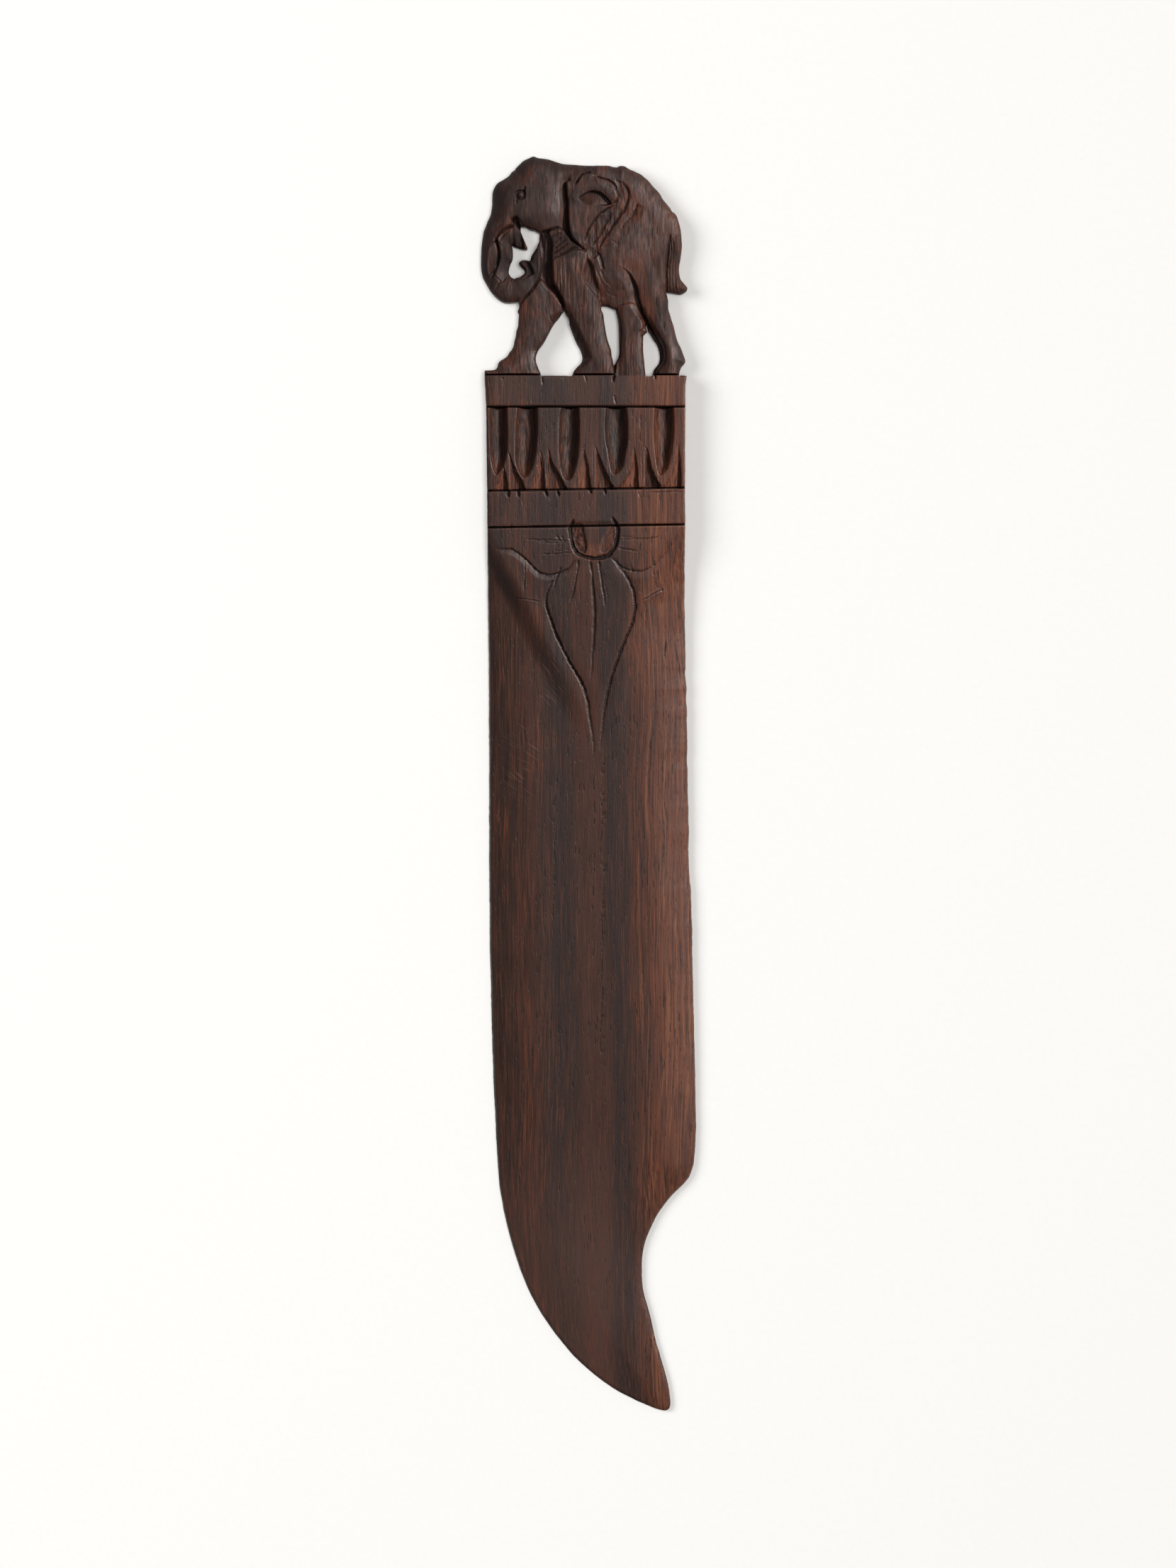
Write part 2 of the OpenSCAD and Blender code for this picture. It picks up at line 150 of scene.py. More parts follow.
def noise(x, y, seed=0):
    """Smooth value noise from -1 to 1 with cells one unit across."""
    fx, fy = np.floor(x), np.floor(y)
    ix, iy = fx.astype(np.int64), fy.astype(np.int64)
    u, v = x - fx, y - fy
    u, v = u * u * u * (u * (u * 6 - 15) + 10), v * v * v * (v * (v * 6 - 15) + 10)
    a, b = _hash(ix, iy, seed), _hash(ix + 1, iy, seed)
    c, d = _hash(ix, iy + 1, seed), _hash(ix + 1, iy + 1, seed)
    return (a * (1 - u) + b * u) * (1 - v) + (c * (1 - u) + d * u) * v


def fbm(x, y, seed=0, octaves=3):
    out, amp = 0.0, 1.0
    for k in range(octaves):
        out = out + amp * noise(x * 2.03**k, y * 2.03**k, seed + 31 * k)
        amp *= 0.5
    return out / 1.75


def ss(a, b, v):
    q = np.clip((v - a) / (b - a), 0, 1)
    return q * q * (3 - 2 * q)


def crest(d, r):
    """0 at an edge, 1 a distance r inside it, rising steeply like a rounded arris."""
    q = np.clip(d / r, 0, 1)
    return np.sqrt(np.maximum(1 - (1 - q) ** 2, 0))


def table(pairs, v):
    a = np.asarray(pairs, float)
    return np.interp(v, a[:, 0], a[:, 1])


def ends(u, a=0.12, b=0.12):
    """1 along a groove, falling to 0 at its two ends."""
    return np.clip(u / max(a, 1e-6), 0, 1) ** 0.6 * np.clip((1 - u) / max(b, 1e-6), 0, 1) ** 0.6


def bell(d, w):
    return np.exp(-((d / w) ** 2))


class Relief:
    """A height field over points P, with how much painted shade, torn fibre and reddish colour each point gets;
    negative reddish values are a painted grey sheen.
    """

    def __init__(self, P, z):
        self.P, self.x, self.y = P, P[:, 0], P[:, 1]
        self.z = np.full(len(P), float(z)) if np.isscalar(z) else z.copy()
        # the first channel is painted shade: darker in grooves, kerfs and on slopes turned away from the light
        self.hollow_shade = np.zeros(len(P))
        self.torn = np.zeros(len(P))
        self.warm_and_sheen = np.zeros(len(P))

    def put(self, poly, h, r=0.5, closed=True, reach=4.0):
        """Raises or lowers the surface to h inside the line."""
        d = sd(self.P, spline(poly, True) if closed else poly, reach)
        low = h < self.z
        w = np.where(low, ss(0, r, d), crest(d, r))
        self.z = self.z * (1 - w) + h * w
        return d

    def cut(self, line, w, depth, a=0.12, b=0.12, hollow_shade=0.6, lip=0.0, sharp=1.0, warm_and_sheen=0.0):
        """A knife groove: V-shaped, w wide, tapered at its ends."""
        # the knife wandered a little from fibre to fibre
        k = np.stack([0.09 * noise(self.x / 0.5, self.y / 1.6, 171) + 0.05 * noise(self.x / 0.22, self.y / 0.8, 172),
                      0.07 * noise(self.x / 0.7, self.y / 0.6, 173)], 1)
        d, u, side = ld(self.P + k, spline(line))
        e = ends(u, a, b)
        rag = 1 + 0.3 * noise(self.x / 0.4, self.y / 1.1, 174)
        q = np.clip(1 - d / (0.5 * w * rag * (0.35 + 0.65 * e)), 0, 1) ** sharp
        self.z = self.z - depth * e * q
        if lip:
            self.z = self.z + lip * e * bell(d - 0.75 * w, 0.3 * w)
        # the groove is painted darker as shade; the reddish channel adds a tint along it
        self.hollow_shade = np.maximum(self.hollow_shade, hollow_shade * e * np.clip(q * 1.6, 0, 1))
        if warm_and_sheen:
            self.warm_and_sheen = np.maximum(self.warm_and_sheen, warm_and_sheen * e * bell(d, w))
        return d, u, side

    def slope(self, line, side, w, drop, a=0.12, b=0.12, hollow_shade=0.0, power=2.0):
        """A shaving taken off one side of a line: deepest at the line, running out w away from it."""
        d, u, s = ld(self.P, spline(line), reach=w + 1)
        m = (s == side).astype(float)
        q = np.clip(1 - d / w, 0, 1)
        self.z = self.z - drop * ends(u, a, b) * m * q**power
        # painted shade close to the line
        self.hollow_shade = np.maximum(self.hollow_shade, hollow_shade * ends(u, a, b) * m * q**3)
        return d, u, s

# ---- the elephant ----------------------------------------------------------------
HEAD_AND_BACK = [
    (-19.25, 82.35), (-18.55, 82.5), (-18.2, 82.9), (-18, 83.7), (-17.55, 84.25), (-16.85, 84.65), (-16.2, 85.15),
    (-15.8, 85.85), (-15.35, 86.4), (-14.95, 87.25), (-14.75, 88.25), (-14.5, 89.1), (-14.4, 90.1), (-14.05, 91.1),
    (-14, 92.05), (-13.9, 93.5), (-14.15, 94.05), (-13.9, 94.6), (-13.8, 95.3), (-14.05, 95.95), (-15.15, 95.85),
    (-16.3, 95.8), (-17.3, 96.05), (-18.1, 96.6), (-18.85, 97.3), (-19.7, 98.4), (-20.35, 99.55), (-20.95, 100.65),
    (-21.2, 101.5), (-21.4, 102.7), (-21.45, 104.6), (-21.4, 106), (-21.3, 107.4), (-21.1, 108.8), (-20.9, 110.05),
    (-20.5, 111.05), (-20.1, 112.1), (-19.55, 113.3), (-19.3, 114.6), (-19.2, 115.6), (-19.2, 116.7), (-19.1, 117.85),
    (-18.8, 118.7), (-18.3, 119.5), (-17.65, 120), (-17, 120.35), (-16.3, 120.8), (-15.7, 121.3), (-15.3, 121.9),
    (-14.8, 122.2), (-14.45, 122.7), (-13.75, 123.4), (-13, 124.1), (-12, 124.6), (-11, 125), (-10, 124.7),
    (-8, 124.4), (-6.6, 123.95), (-5, 123.5), (-3, 123.35), (0, 123.1), (2.3, 123.1), (4, 123.1), (4.8, 122.9),
    (5.7, 122.8), (6, 123), (6.5, 123.1), (7.2, 123), (8, 122.5), (9, 122.05), (10.4, 121.4), (11, 120.9),
    (11.9, 120.1), (13, 118.8), (13.7, 118.1), (14.35, 117.3), (14.65, 116.6), (15.05, 116.1), (15.7, 115.3),
    (16.2, 114.7), (16.6, 113.95), (17.15, 113.6), (17.6, 112.85), (17.95, 111.7), (18.2, 110.8), (18.4, 109.4),
    (18.5, 108), (18.55, 107), (18.4, 105.6), (18.2, 104.2), (18, 103.1), (18, 102), (18.15, 100.9), (18.4, 100.3),
    (18.9, 99.7), (19.5, 99), (19.65, 98.7), (19.45, 98.2), (18.9, 97.8), (18.3, 97.55), (17.5, 97.6), (16.4, 97.8),
    (15.45, 97.85), (15.6, 97.2), (15.8, 96.25), (15.85, 94.6), (16.2, 93.4), (16.55, 92.15), (16.9, 91.2), (17.25, 89.65),
    (17.7, 88.1), (18.25, 87), (18.8, 85.6), (19.25, 84.25), (18.9, 83.55), (18.5, 83.15), (18.15, 82.3), (17.9, 81.2)]
HIND_GAP = [
    (12.75, 81.2), (12.95, 82.3), (13.4, 83), (13.95, 83.7), (14.2, 84.65), (14.15, 85.6), (13.9, 86.8), (13.5, 87.7),
    (13, 88.4), (12.45, 89.35), (11.85, 90.3), (11.7, 91.05), (11.45, 91.5), (11.35, 91.2), (11.45, 90.6),
    (11.65, 90.05), (11.35, 89.8), (10.9, 89.35), (10.85, 88.4), (10.8, 87.3), (10.9, 85.6), (11.05, 84),
    (11.2, 82.3), (11.3, 81.2)]
FRONT_GAP = [
    (-3.3, 81.2), (-3, 82), (-2.6, 82.6), (-1.95, 83.3), (-1.4, 83.95), (-1.25, 84.8), (-1.35, 85.5), (-1.7, 86.5),
    (-2.3, 87.6), (-2.8, 88.7), (-3.3, 90), (-3.5, 90.5), (-3.85, 91.65), (-3.8, 92.05), (-4, 92.8), (-4.45, 93.35),
    (-4.6, 93.85), (-4.9, 94.25), (-5.2, 93.95), (-6, 92.75), (-6.75, 91.9), (-7.35, 90.95), (-7.95, 89.8),
    (-8.55, 88.65), (-9.1, 87.7), (-10, 86.5), (-10.45, 85.45), (-10.55, 84.75), (-10.5, 84.05), (-10.3, 83.45),
    (-9.95, 82.55), (-9.6, 81.75), (-9.55, 81.2)]
BELLY_GAP = [
    (2.65, 95.2), (3.85, 95.05), (4.8, 94.6), (5.35, 94.45), (5.55, 93.7), (5.85, 92.3), (6, 90.75), (6.05, 89.2),
    (6.1, 87.6), (6.15, 86.05), (5.95, 85), (5.5, 84), (5, 83.3), (4.8, 84.25), (4.55, 85.25), (4.45, 86.35),
    (4.05, 87.45), (3.7, 88.55), (3.35, 90.3), (3.05, 92.3), (2.85, 93.6), (2.5, 94.35), (2.5, 95)]
TRUNK_GAP = [
    (-13.5, 110.9), (-13, 110.95), (-12.35, 110.8), (-11.6, 110.35), (-10.8, 110.2), (-10.1, 109.8), (-9.75, 109.65),
    (-9.8, 108.95), (-9.85, 108), (-10.2, 107.25), (-10.3, 106.7), (-10.8, 106), (-11.35, 105.15), (-11.7, 104.15),
    (-12.4, 104.25), (-13.2, 104.2), (-13.85, 103.7), (-13.5, 103), (-12.9, 102.45), (-12.7, 101.9), (-12.9, 101.45),
    (-13.2, 101.25), (-13.75, 100.85), (-14.3, 100.75), (-14.8, 100.55), (-15.45, 100.9), (-15.8, 101.45),
    (-15.97, 102), (-15.85, 102.75), (-15.6, 103.6), (-15.2, 104.45), (-15.1, 105.4), (-15.15, 106.4), (-15.3, 107.25),
    (-14.6, 106.9), (-13.5, 106.55), (-12.75, 106.4), (-12.3, 106.5), (-12.2, 106.75), (-12.6, 107.65), (-13.1, 108.8),
    (-13.5, 109.9), (-13.58, 110.5)]

FOOT_Y = 81.2
OUTER = np.vstack([
    [(-20.7, FOOT_Y), (-20.72, 82.3)], spline(HEAD_AND_BACK, step=0.2), spline(HIND_GAP, step=0.2),
    spline(FRONT_GAP, step=0.2)])
GAP_A = spline(BELLY_GAP, True, 0.2)
GAP_T = spline(TRUNK_GAP, True, 0.2)


def inside_elephant(P):
    """Distance into the wood from the nearest sawn outline, leaving out the seam at the plinth."""
    d = sd(P, OUTER, 9.0)
    a, b = sd(P, GAP_A, 9.0), sd(P, GAP_T, 9.0)
    return np.minimum(d, np.minimum(-a, -b))


# the outline with the feet run on below the seam, so that the feet's ends aren't rounded there
OUTER_ON = OUTER.copy()
OUTER_ON[OUTER_ON[:, 1] < FOOT_Y + 0.01, 1] = FOOT_Y - 4
ROUND_LINES = [OUTER_ON, GAP_A, GAP_T]


def rim_distance(P):
    d = sd(P, OUTER_ON, 9.0)
    return np.minimum(d, np.minimum(-sd(P, GAP_A, 9.0), -sd(P, GAP_T, 9.0)))


CRES = [(-2.0, 116.5), (-1.2, 117.25), (-0.25, 117.8), (0.85, 118.05), (2.3, 117.75), (3.2, 117.1), (4, 116.3), (4.6, 115.2), (3.6, 115.0),
        (2, 114.9), (0, 115.0), (-1.4, 115.4)]


def elephant(P):
    R = Relief(P, 3.0)
    x, y = R.x, R.y
    rim = rim_distance(P)
    soft = noise(x / 2.6, y / 4.5, 3) * 0.5 + noise(x / 1.2, y / 2.6, 4) * 0.5

    # far front leg, under the trunk and the chest
    leg = [(-9.3, 100.4), (-8, 98.8), (-6.8, 97.7), (-5.9, 96.5), (-5.0, 95.2), (-4, 93), (-5, 89), (-8, 85), (-8.5, 78),
           (-23, 78), (-23, 84), (-18, 89), (-16, 93), (-15, 95.8), (-13.7, 95.8), (-12.9, 96.7), (-12, 97.6), (-11, 98.8),
           (-10.2, 100.0)]
    d = R.put(leg, 3.75 + 0.25 * ss(0, 3, rim) + 0.06 * soft, 0.6)
    foot = ss(86.5, 82.5, y)
    R.z = R.z + 0.55 * foot * ss(0, 1.2, d)
    # far hind leg, tucked under the belly
    leg = [(4.9, 97), (12.5, 97), (12.4, 92), (11.8, 90), (11.6, 78), (5.05, 78), (5.05, 83.6), (6, 86), (6, 92), (5.2, 94.8)]
    h = 3.65 + 0.35 * ss(5.6, 7.6, x + 0.05 * (y - 88)) - 0.25 * ss(9.6, 11.2, x) + 0.05 * soft
    R.put(leg, h, 0.5)
    R.put([(7.1, 94), (7.6, 94.6), (8.6, 94.8), (9.6, 94.1), (10.3, 92.8), (10.9, 91.2), (10.6, 90.3), (9.2, 89.9), (8, 89.8),
           (7.4, 90.8), (7.0, 92.4)], 3.95 + 0.04 * (x - 8), 0.7)

    legs = np.maximum(ss(95.5, 92, y) * ss(5.0, 5.6, x) * ss(12.4, 11.4, x), ss(97, 94, y) * ss(-4.2, -5.2, x))
    R.torn = np.maximum(R.torn, 0.55 * legs * ss(-0.4, 0.5, noise(x / 1.5, y / 5, 17) + 0.1))
    # painted grey sheen on the far front leg, stored as negative values of the reddish channel
    grey = ss(0, 0.5, sd(P, spline([(-14, 95.6), (-12.2, 97), (-10.6, 98.6), (-9.6, 98.4), (-10.4, 95.5), (-11, 92), (-11.2, 88), (-12, 84), (-14, 84.5), (-13.8, 88), (-13.3, 92)], True)))
    R.warm_and_sheen = np.where(grey > 0, -0.7 * grey * ss(-0.5, 0.4, noise(x / 1.1, y / 4, 19)), R.warm_and_sheen)
    # chest hollow, torn fibres, painted shade inside it
    hollow_shade = [(-9.95, 109.9), (-9.4, 110), (-8.2, 109.6), (-7.6, 108), (-7.25, 106), (-7.1, 104.3), (-7.1, 101.1), (-6.9, 99.6),
              (-6.2, 98.2), (-7.2, 98.2), (-8.3, 99.2), (-9.2, 100.6), (-9.7, 102), (-9.5, 104), (-9.3, 106), (-9.7, 107.6)]
    d = R.put(hollow_shade, 2.75 + 0.25 * noise(x / 0.45, y / 5, 5) + 0.12 * noise(x / 0.25, y / 2.5, 6), 0.35)
    R.hollow_shade = np.maximum(R.hollow_shade, 0.75 * ss(-0.1, 0.5, d))
    R.torn = np.maximum(R.torn, ss(0, 0.5, d))

    # neck rolls between the cheek and the near front leg, painted darker as shade
    neck = [(-8.1, 109.8), (-7.4, 107.5), (-7.35, 104.3), (-4.8, 105.2), (-2.6, 106.4), (-1.0, 106.4), (-2.1, 107.6), (-3.6, 109.6),
            (-5, 110.8), (-6.6, 110.8)]
    d = R.put(neck, 3.95 + 0.06 * (x + 7) + 0.1 * noise(x / 0.5, y / 1.2, 8) * ss(107, 109, y), 0.5)
    R.torn = np.maximum(R.torn, 0.7 * ss(0, 0.5, d))
    R.hollow_shade = np.maximum(R.hollow_shade, 0.45 * ss(0, 0.5, d))

    # body, from the shoulder to the rump, with the belly
    body = [(-7, 128), (24, 128), (24, 96), (16.5, 95.5), (11.4, 94.6), (9.8, 94.9), (8.6, 95.4), (7.7, 95.3), (7, 95.05), (6.2, 94.8), (5.4, 94.2),
            (4.4, 93.9), (2.6, 94.2), (0.5, 96), (-2, 100), (-3, 104), (-1, 106), (-3.6, 109.5), (-4.5, 114), (-5.2, 120)]
    h = 4.3 + 0.55 * bell(np.hypot((x - 9.5) / 1.1, (y - 107)), 8.5) + 0.05 * soft
    h = h - 0.85 * ss(101, 95, y) * ss(11.5, 8, x) - 0.25 * ss(13.5, 18, x) * ss(112, 104, y)
    d = R.put(body, h, 0.7)
    # shaded hollow between the near front leg and the belly
    cleft = [(-0.5, 104.6), (0.4, 104.2), (1.1, 103), (1.5, 101.2), (2.1, 99.2), (2.8, 97.4), (2.9, 96), (2.0, 96.2), (0.9, 97.9),
             (-0.3, 99.6), (-1.1, 100.6), (-1.0, 102.4)]
    d = R.put(cleft, 3.75 + 0.15 * noise(x / 0.4, y / 3, 9), 0.7)
    R.hollow_shade = np.maximum(R.hollow_shade, 0.45 * ss(0, 0.7, d))
    R.torn = np.maximum(R.torn, 0.8 * ss(0, 0.5, d))
    R.warm_and_sheen = np.maximum(R.warm_and_sheen, 0.6 * ss(0, 0.5, d))

    # shoulder channel behind the ear
    channel = [(5.3, 120.2), (6.6, 119.9), (7.6, 118.4), (8.0, 116.8), (7.2, 114.6), (6.1, 112.9), (4.7, 110.9), (3.7, 109.3), (2.7, 107.8),
               (2.2, 106.6), (2.1, 105.4), (1.2, 104.2), (0.2, 104.6), (-0.4, 105.8), (-1.2, 106.4), (-0.8, 108), (0, 110), (1.2, 112), (3, 113.8), (4.6, 115),
               (5.6, 116.6), (5.5, 118.4)]
    hb = 4.2 + 0.12 * noise(x / 0.7, y / 1.6, 11) + 0.06 * noise(x / 0.3, y / 1.0, 12)
    d = R.put(channel, hb, 0.5)
    R.torn = np.maximum(R.torn, 0.9 * ss(0, 0.5, d))
    R.cut([(4.7, 113.6), (4.1, 112.7), (2.9, 110.5), (1.95, 108.9), (1.2, 107.8), (0.6, 106.9)], 0.9, 0.35, hollow_shade=0.35)
    R.cut([(6.6, 119.9), (7.4, 118.6), (7.9, 116.9), (7.1, 114.4), (6.2, 113.1), (4.8, 111.1), (3.85, 109.6), (2.9, 108.2), (2.3, 107.05),
           (2.1, 105.8)], 0.9, 0.5, hollow_shade=0.65, warm_and_sheen=0.9)
    R.cut([(1.7, 105.8), (2.2, 104.9), (2.7, 103.3), (3.0, 102.2)], 0.8, 0.4, hollow_shade=0.5)
    R.slope([(9.7, 115.4), (8.85, 113.6), (8.0, 112.4), (6.8, 110.95), (5.6, 109.6)], 1, 2.0, 0.4, hollow_shade=0.0, power=1.2)
    R.cut([(9.9, 115.9), (9.2, 114.3), (8.4, 113.0), (7.4, 111.6), (6.4, 110.4)], 0.6, 0.16, hollow_shade=0.25)
    for line in ([(2.4, 107.3), (3.3, 107.7), (4.4, 107.9)], [(4.2, 108.3), (5.3, 107.6), (6.4, 107.2), (6.7, 108.0)],
                 [(2.6, 106.6), (3.6, 107.0), (4.8, 107.3), (6.2, 107.1)], [(1.5, 102.6), (2.0, 101), (2.7, 99.4), (3.3, 98.2)],
                 [(2.4, 102.4), (2.8, 101), (3.5, 99.8), (4.6, 98.9)], [(3.6, 98), (4.2, 97.3), (5.6, 97.1)],
                 [(5.8, 98.0), (6.5, 98.4), (7.0, 98.3)]):
        R.cut(line, 0.55, 0.075, hollow_shade=0.22, lip=0.0)

    # near hind leg: its front edge stands proud of the belly and the far leg
    edge = [(6.2, 103.3), (7.3, 102.4), (8.5, 101.3), (9.3, 99.8), (9.8, 98.4), (10.05, 96.7), (10.5, 95.3), (11.05, 93.7), (11.7, 92.4),
            (12.4, 91.1), (13.3, 89.5), (14.05, 88.2), (14.75, 86.8), (14.9, 85.4), (14.7, 84.2), (14.0, 83.2), (13.4, 82.2)]
    e = spline(edge)
    leg = np.vstack([e, [(13.4, 78), (24, 78), (24, 112), (13, 112), (6, 110)]])
    dl, u, side = ld(P, e, 4)
    rear = side > 0
    lower = ss(95, 91, y)
    R.z = np.where(~rear & (dl < 4), R.z - 1.25 * ss(0.0, 0.22, u) * np.clip(1 - dl / (2.3 - 1.3 * lower), 0, 1) ** 1.3 * (1 - ss(0.55, 0.7, u) * 0.6), R.z)
    # painted shade along the belly side of the proud edge
    R.hollow_shade = np.maximum(R.hollow_shade, np.where(~rear, 0.75 * ss(0.0, 0.2, u) * bell(dl, 0.6), 0))
    d = sd(P, leg, 6)
    h = 4.45 + 0.35 * bell(x - 13.0 - 0.25 * (97 - y), 2.2) + 0.05 * soft
    w = crest(d, 0.9) * ss(105.5, 99, y + 0.35 * (x - 9))
    R.z = R.z * (1 - w) + h * w
    chamfer = np.clip(1 - (d + 0.0) / 0.4, 0, 1)

    # tail, with its hair
    R.cut([(16.3, 109.4), (15.9, 107.4), (15.6, 104.2), (15.45, 101.6), (15.45, 98.4), (15.4, 96.9)], 0.7, 0.5, b=0.02, hollow_shade=0.7)
    for k, (x0, x1, top) in enumerate(((16.25, 16.05, 109.2), (16.75, 16.6, 108.6), (17.2, 17.1, 106.6), (17.6, 17.6, 105.2))):
        R.cut([(x0, top), (x0 - 0.1 + 0.25, 106), (x1 + 0.05 * k, 102.5), (x1 + 0.1 * k, 99.6), (x1 + 0.2 * k, 98)], 0.42, 0.34 - 0.04 * k, b=0.03, hollow_shade=0.6)
    tail = ss(15.3, 15.8, x) * ss(110, 107, y) * ss(96.5, 98.5, y)
    R.torn = np.maximum(R.torn, 0.7 * tail)
    R.warm_and_sheen = np.maximum(R.warm_and_sheen, 0.4 * tail)

    # near front leg
    leg = [(-7.3, 104.5), (-7.25, 101.1), (-7.1, 99.7), (-6.4, 98.4), (-5.6, 96.9), (-5.05, 95.4), (-5.0, 94.3), (-5.6, 93.4), (-4.8, 88),
           (-3, 84), (-4.5, 78), (5.05, 78), (5.05, 83.4), (4.9, 87.5), (3.9, 92), (2.7, 95), (2.2, 95.9), (1.3, 97.3), (0.3, 98.7), (-0.8, 100.1),
           (-1.15, 101.1), (-0.75, 102.8), (-0.35, 104.2), (-0.5, 105.6), (-1.2, 106.4), (-3, 106.5), (-5, 105.5)]
    lean = x - (-3.2 + 0.33 * (100 - y))
    h = 4.6 + 0.2 * bell(lean - 0.8, 2.4) + 0.05 * soft + 0.12 * noise(x / 0.6, y / 6, 14) * ss(94, 98, y) * ss(105, 102, y)
    d = R.put(leg, h, 0.55)
    # the shaving down the front of the shin
    R.slope([(-4.9, 95.2), (-3.9, 93.2), (-3.0, 90.8), (-1.9, 88.2), (-0.9, 86.0), (-0.4, 84.4), (-1.0, 83.2)], -1, 2.8, 0.0, hollow_shade=0)
    shin = spline([(-4.0, 95.4), (-2.3, 92.2), (-1.0, 89.4), (0.2, 86.6), (0.9, 84.6), (-0.6, 83.0), (-2.4, 82.3)])
    dl, u, side = ld(P, shin, 5)
    left = (side < 0) & (dl < 4.5)
    R.z = np.where(left, R.z - 1.5 * ss(0, 0.18, u) * (1 - ss(0.88, 1.0, u)) * ss(0, 2.4, dl), R.z)
    R.torn = np.maximum(R.torn, np.where(left, 0.5 * ss(0, 0.2, u) * (1 - ss(0.9, 1.0, u)), 0))
    # painted shade on the shaved side, which faces away from the light
    R.hollow_shade = np.maximum(R.hollow_shade, np.where(left, 0.35 * ss(0, 0.2, u) * (1 - ss(0.9, 1.0, u)) * ss(0, 2, dl), 0))
    # far legs are darker where the near ones shade them
    for line, w, hh in (([(-7.6, 99.3), (-6.6, 98.0), (-5.7, 96.7), (-5.1, 95.2), (-5.0, 94.4)], 1.0, 0.8),
                        ([(-9.6, 101.6), (-10.4, 99.9), (-11.3, 98.4), (-12.2, 97.3), (-13, 96.4), (-13.8, 95.4)], 0.5, 0.8)):
        R.cut(line, w, 0.35, 0.05, 0.05, hollow_shade=hh, sharp=0.8)
    # splits along the grain in the leg
    for line in ([(-0.4, 105.8), (-0.35, 104.8), (-0.25, 104)], [(-6.2, 103.6), (-6.3, 101.4), (-6.2, 99.6)], [(-5.2, 104.2), (-5.3, 101), (-5.1, 98)],
                 [(-4.4, 103.6), (-4.5, 100.5), (-4.35, 97.2)], [(-3.6, 102.6), (-3.75, 99), (-3.6, 95.6)], [(-2.6, 105.4), (-2.7, 103.2), (-2.6, 101)],
                 [(-5.8, 101), (-5.7, 98.8), (-5.4, 97)]):
        R.cut(line, 0.32, 0.14, 0.3, 0.3, hollow_shade=0.45, warm_and_sheen=0.4)

    # head: forehead, cheek and the top of the trunk
    head = [(-3.9, 128), (-24, 128), (-24, 98), (-21.5, 97), (-19.6, 99.6), (-19.0, 101.2), (-18.3, 102.8), (-17.95, 104.4), (-17.85, 106),
            (-18.1, 107.2), (-18.45, 108.3), (-18.2, 108.8), (-17.7, 109.6), (-16.85, 110.3), (-15.7, 110.95), (-15.2, 111.4),
            (-15.2, 112.3), (-14.4, 112.6), (-13.9, 111.6), (-13.5, 110.8), (-12, 109.8), (-9.8, 109.4), (-9.25, 109.8),
            (-8, 110.1), (-6.4, 110.5), (-5.2, 110.1), (-4.4, 109.2), (-3.8, 108.2), (-3.2, 108), (-3.6, 111), (-3.8, 114), (-3.9, 118)]
    h = 4.45 + 0.33 * bell(np.hypot(x + 10.3, (y - 115.5) / 1.15), 5.5) + 0.05 * soft
    h = h - (0.45 * ss(-8.6, -5.0, x) + 0.75 * ss(-6.2, -4.5, x)) * ss(122.3, 119, y) - 0.35 * ss(114, 110, y) * ss(-15, -12, x) - 0.25 * ss(-16.2, -19.2, x)
    d = R.put(head, h, 0.6)
    # lower trunk, from the fold under the eye to the curl
    trunk = [(-18.3, 108.5), (-17.7, 109.4), (-16.8, 110.1), (-15.7, 110.7), (-15.2, 110.6), (-14.9, 107), (-14.8, 104.5), (-12.5, 105), (-11.0, 106.4), (-10.0, 107.2),
             (-9.6, 106), (-9.45, 103.6), (-9.55, 101.9), (-10.2, 100.1), (-11, 98.6), (-12, 97.5), (-12.9, 96.6), (-13.7, 95.4), (-16, 94.5), (-22, 95),
             (-20.6, 98.5), (-19.4, 100.6), (-18.7, 102), (-18.1, 103.4), (-17.8, 104.8), (-17.8, 106), (-18.0, 107.2)]
    h = 4.3 + 0.12 * noise(x / 1.6, y / 4, 21) - 0.35 * ss(107, 110, y) - 0.15 * ss(-12.5, -10, x)
    d = R.put(trunk, h, 0.45)
    # the lower trunk is painted a little darker as shade
    R.hollow_shade = np.maximum(R.hollow_shade, 0.2 * ss(0, 0.5, d))
    # leaf-shaped hollow on the trunk, with painted shade along its steep right wall
    leaf = [(-18.5, 108.3), (-18.1, 107.3), (-17.85, 106), (-17.85, 104.8), (-18.15, 103.4), (-19.1, 101.6), (-19.7, 101.4), (-20.0, 102.4),
            (-20.1, 104), (-20.0, 105.6), (-19.5, 107)]
    dl = sd(P, spline(leaf, True))
    edge_l, u, side = ld(P, spline([(-18.5, 108.4), (-18.1, 107.3), (-17.85, 106), (-17.85, 104.8), (-18.15, 103.4), (-19.2, 101.6)]))
    R.z = R.z - np.where(dl > -0.3, 0.7 * ss(0, 0.35, dl + 0.1) * np.clip(1 - edge_l / 2.4, 0, 1), 0)
    R.warm_and_sheen = np.maximum(R.warm_and_sheen, 0.75 * ss(0, 0.5, dl))
    R.hollow_shade = np.maximum(R.hollow_shade, 0.8 * bell(edge_l, 0.22) * ends(u))
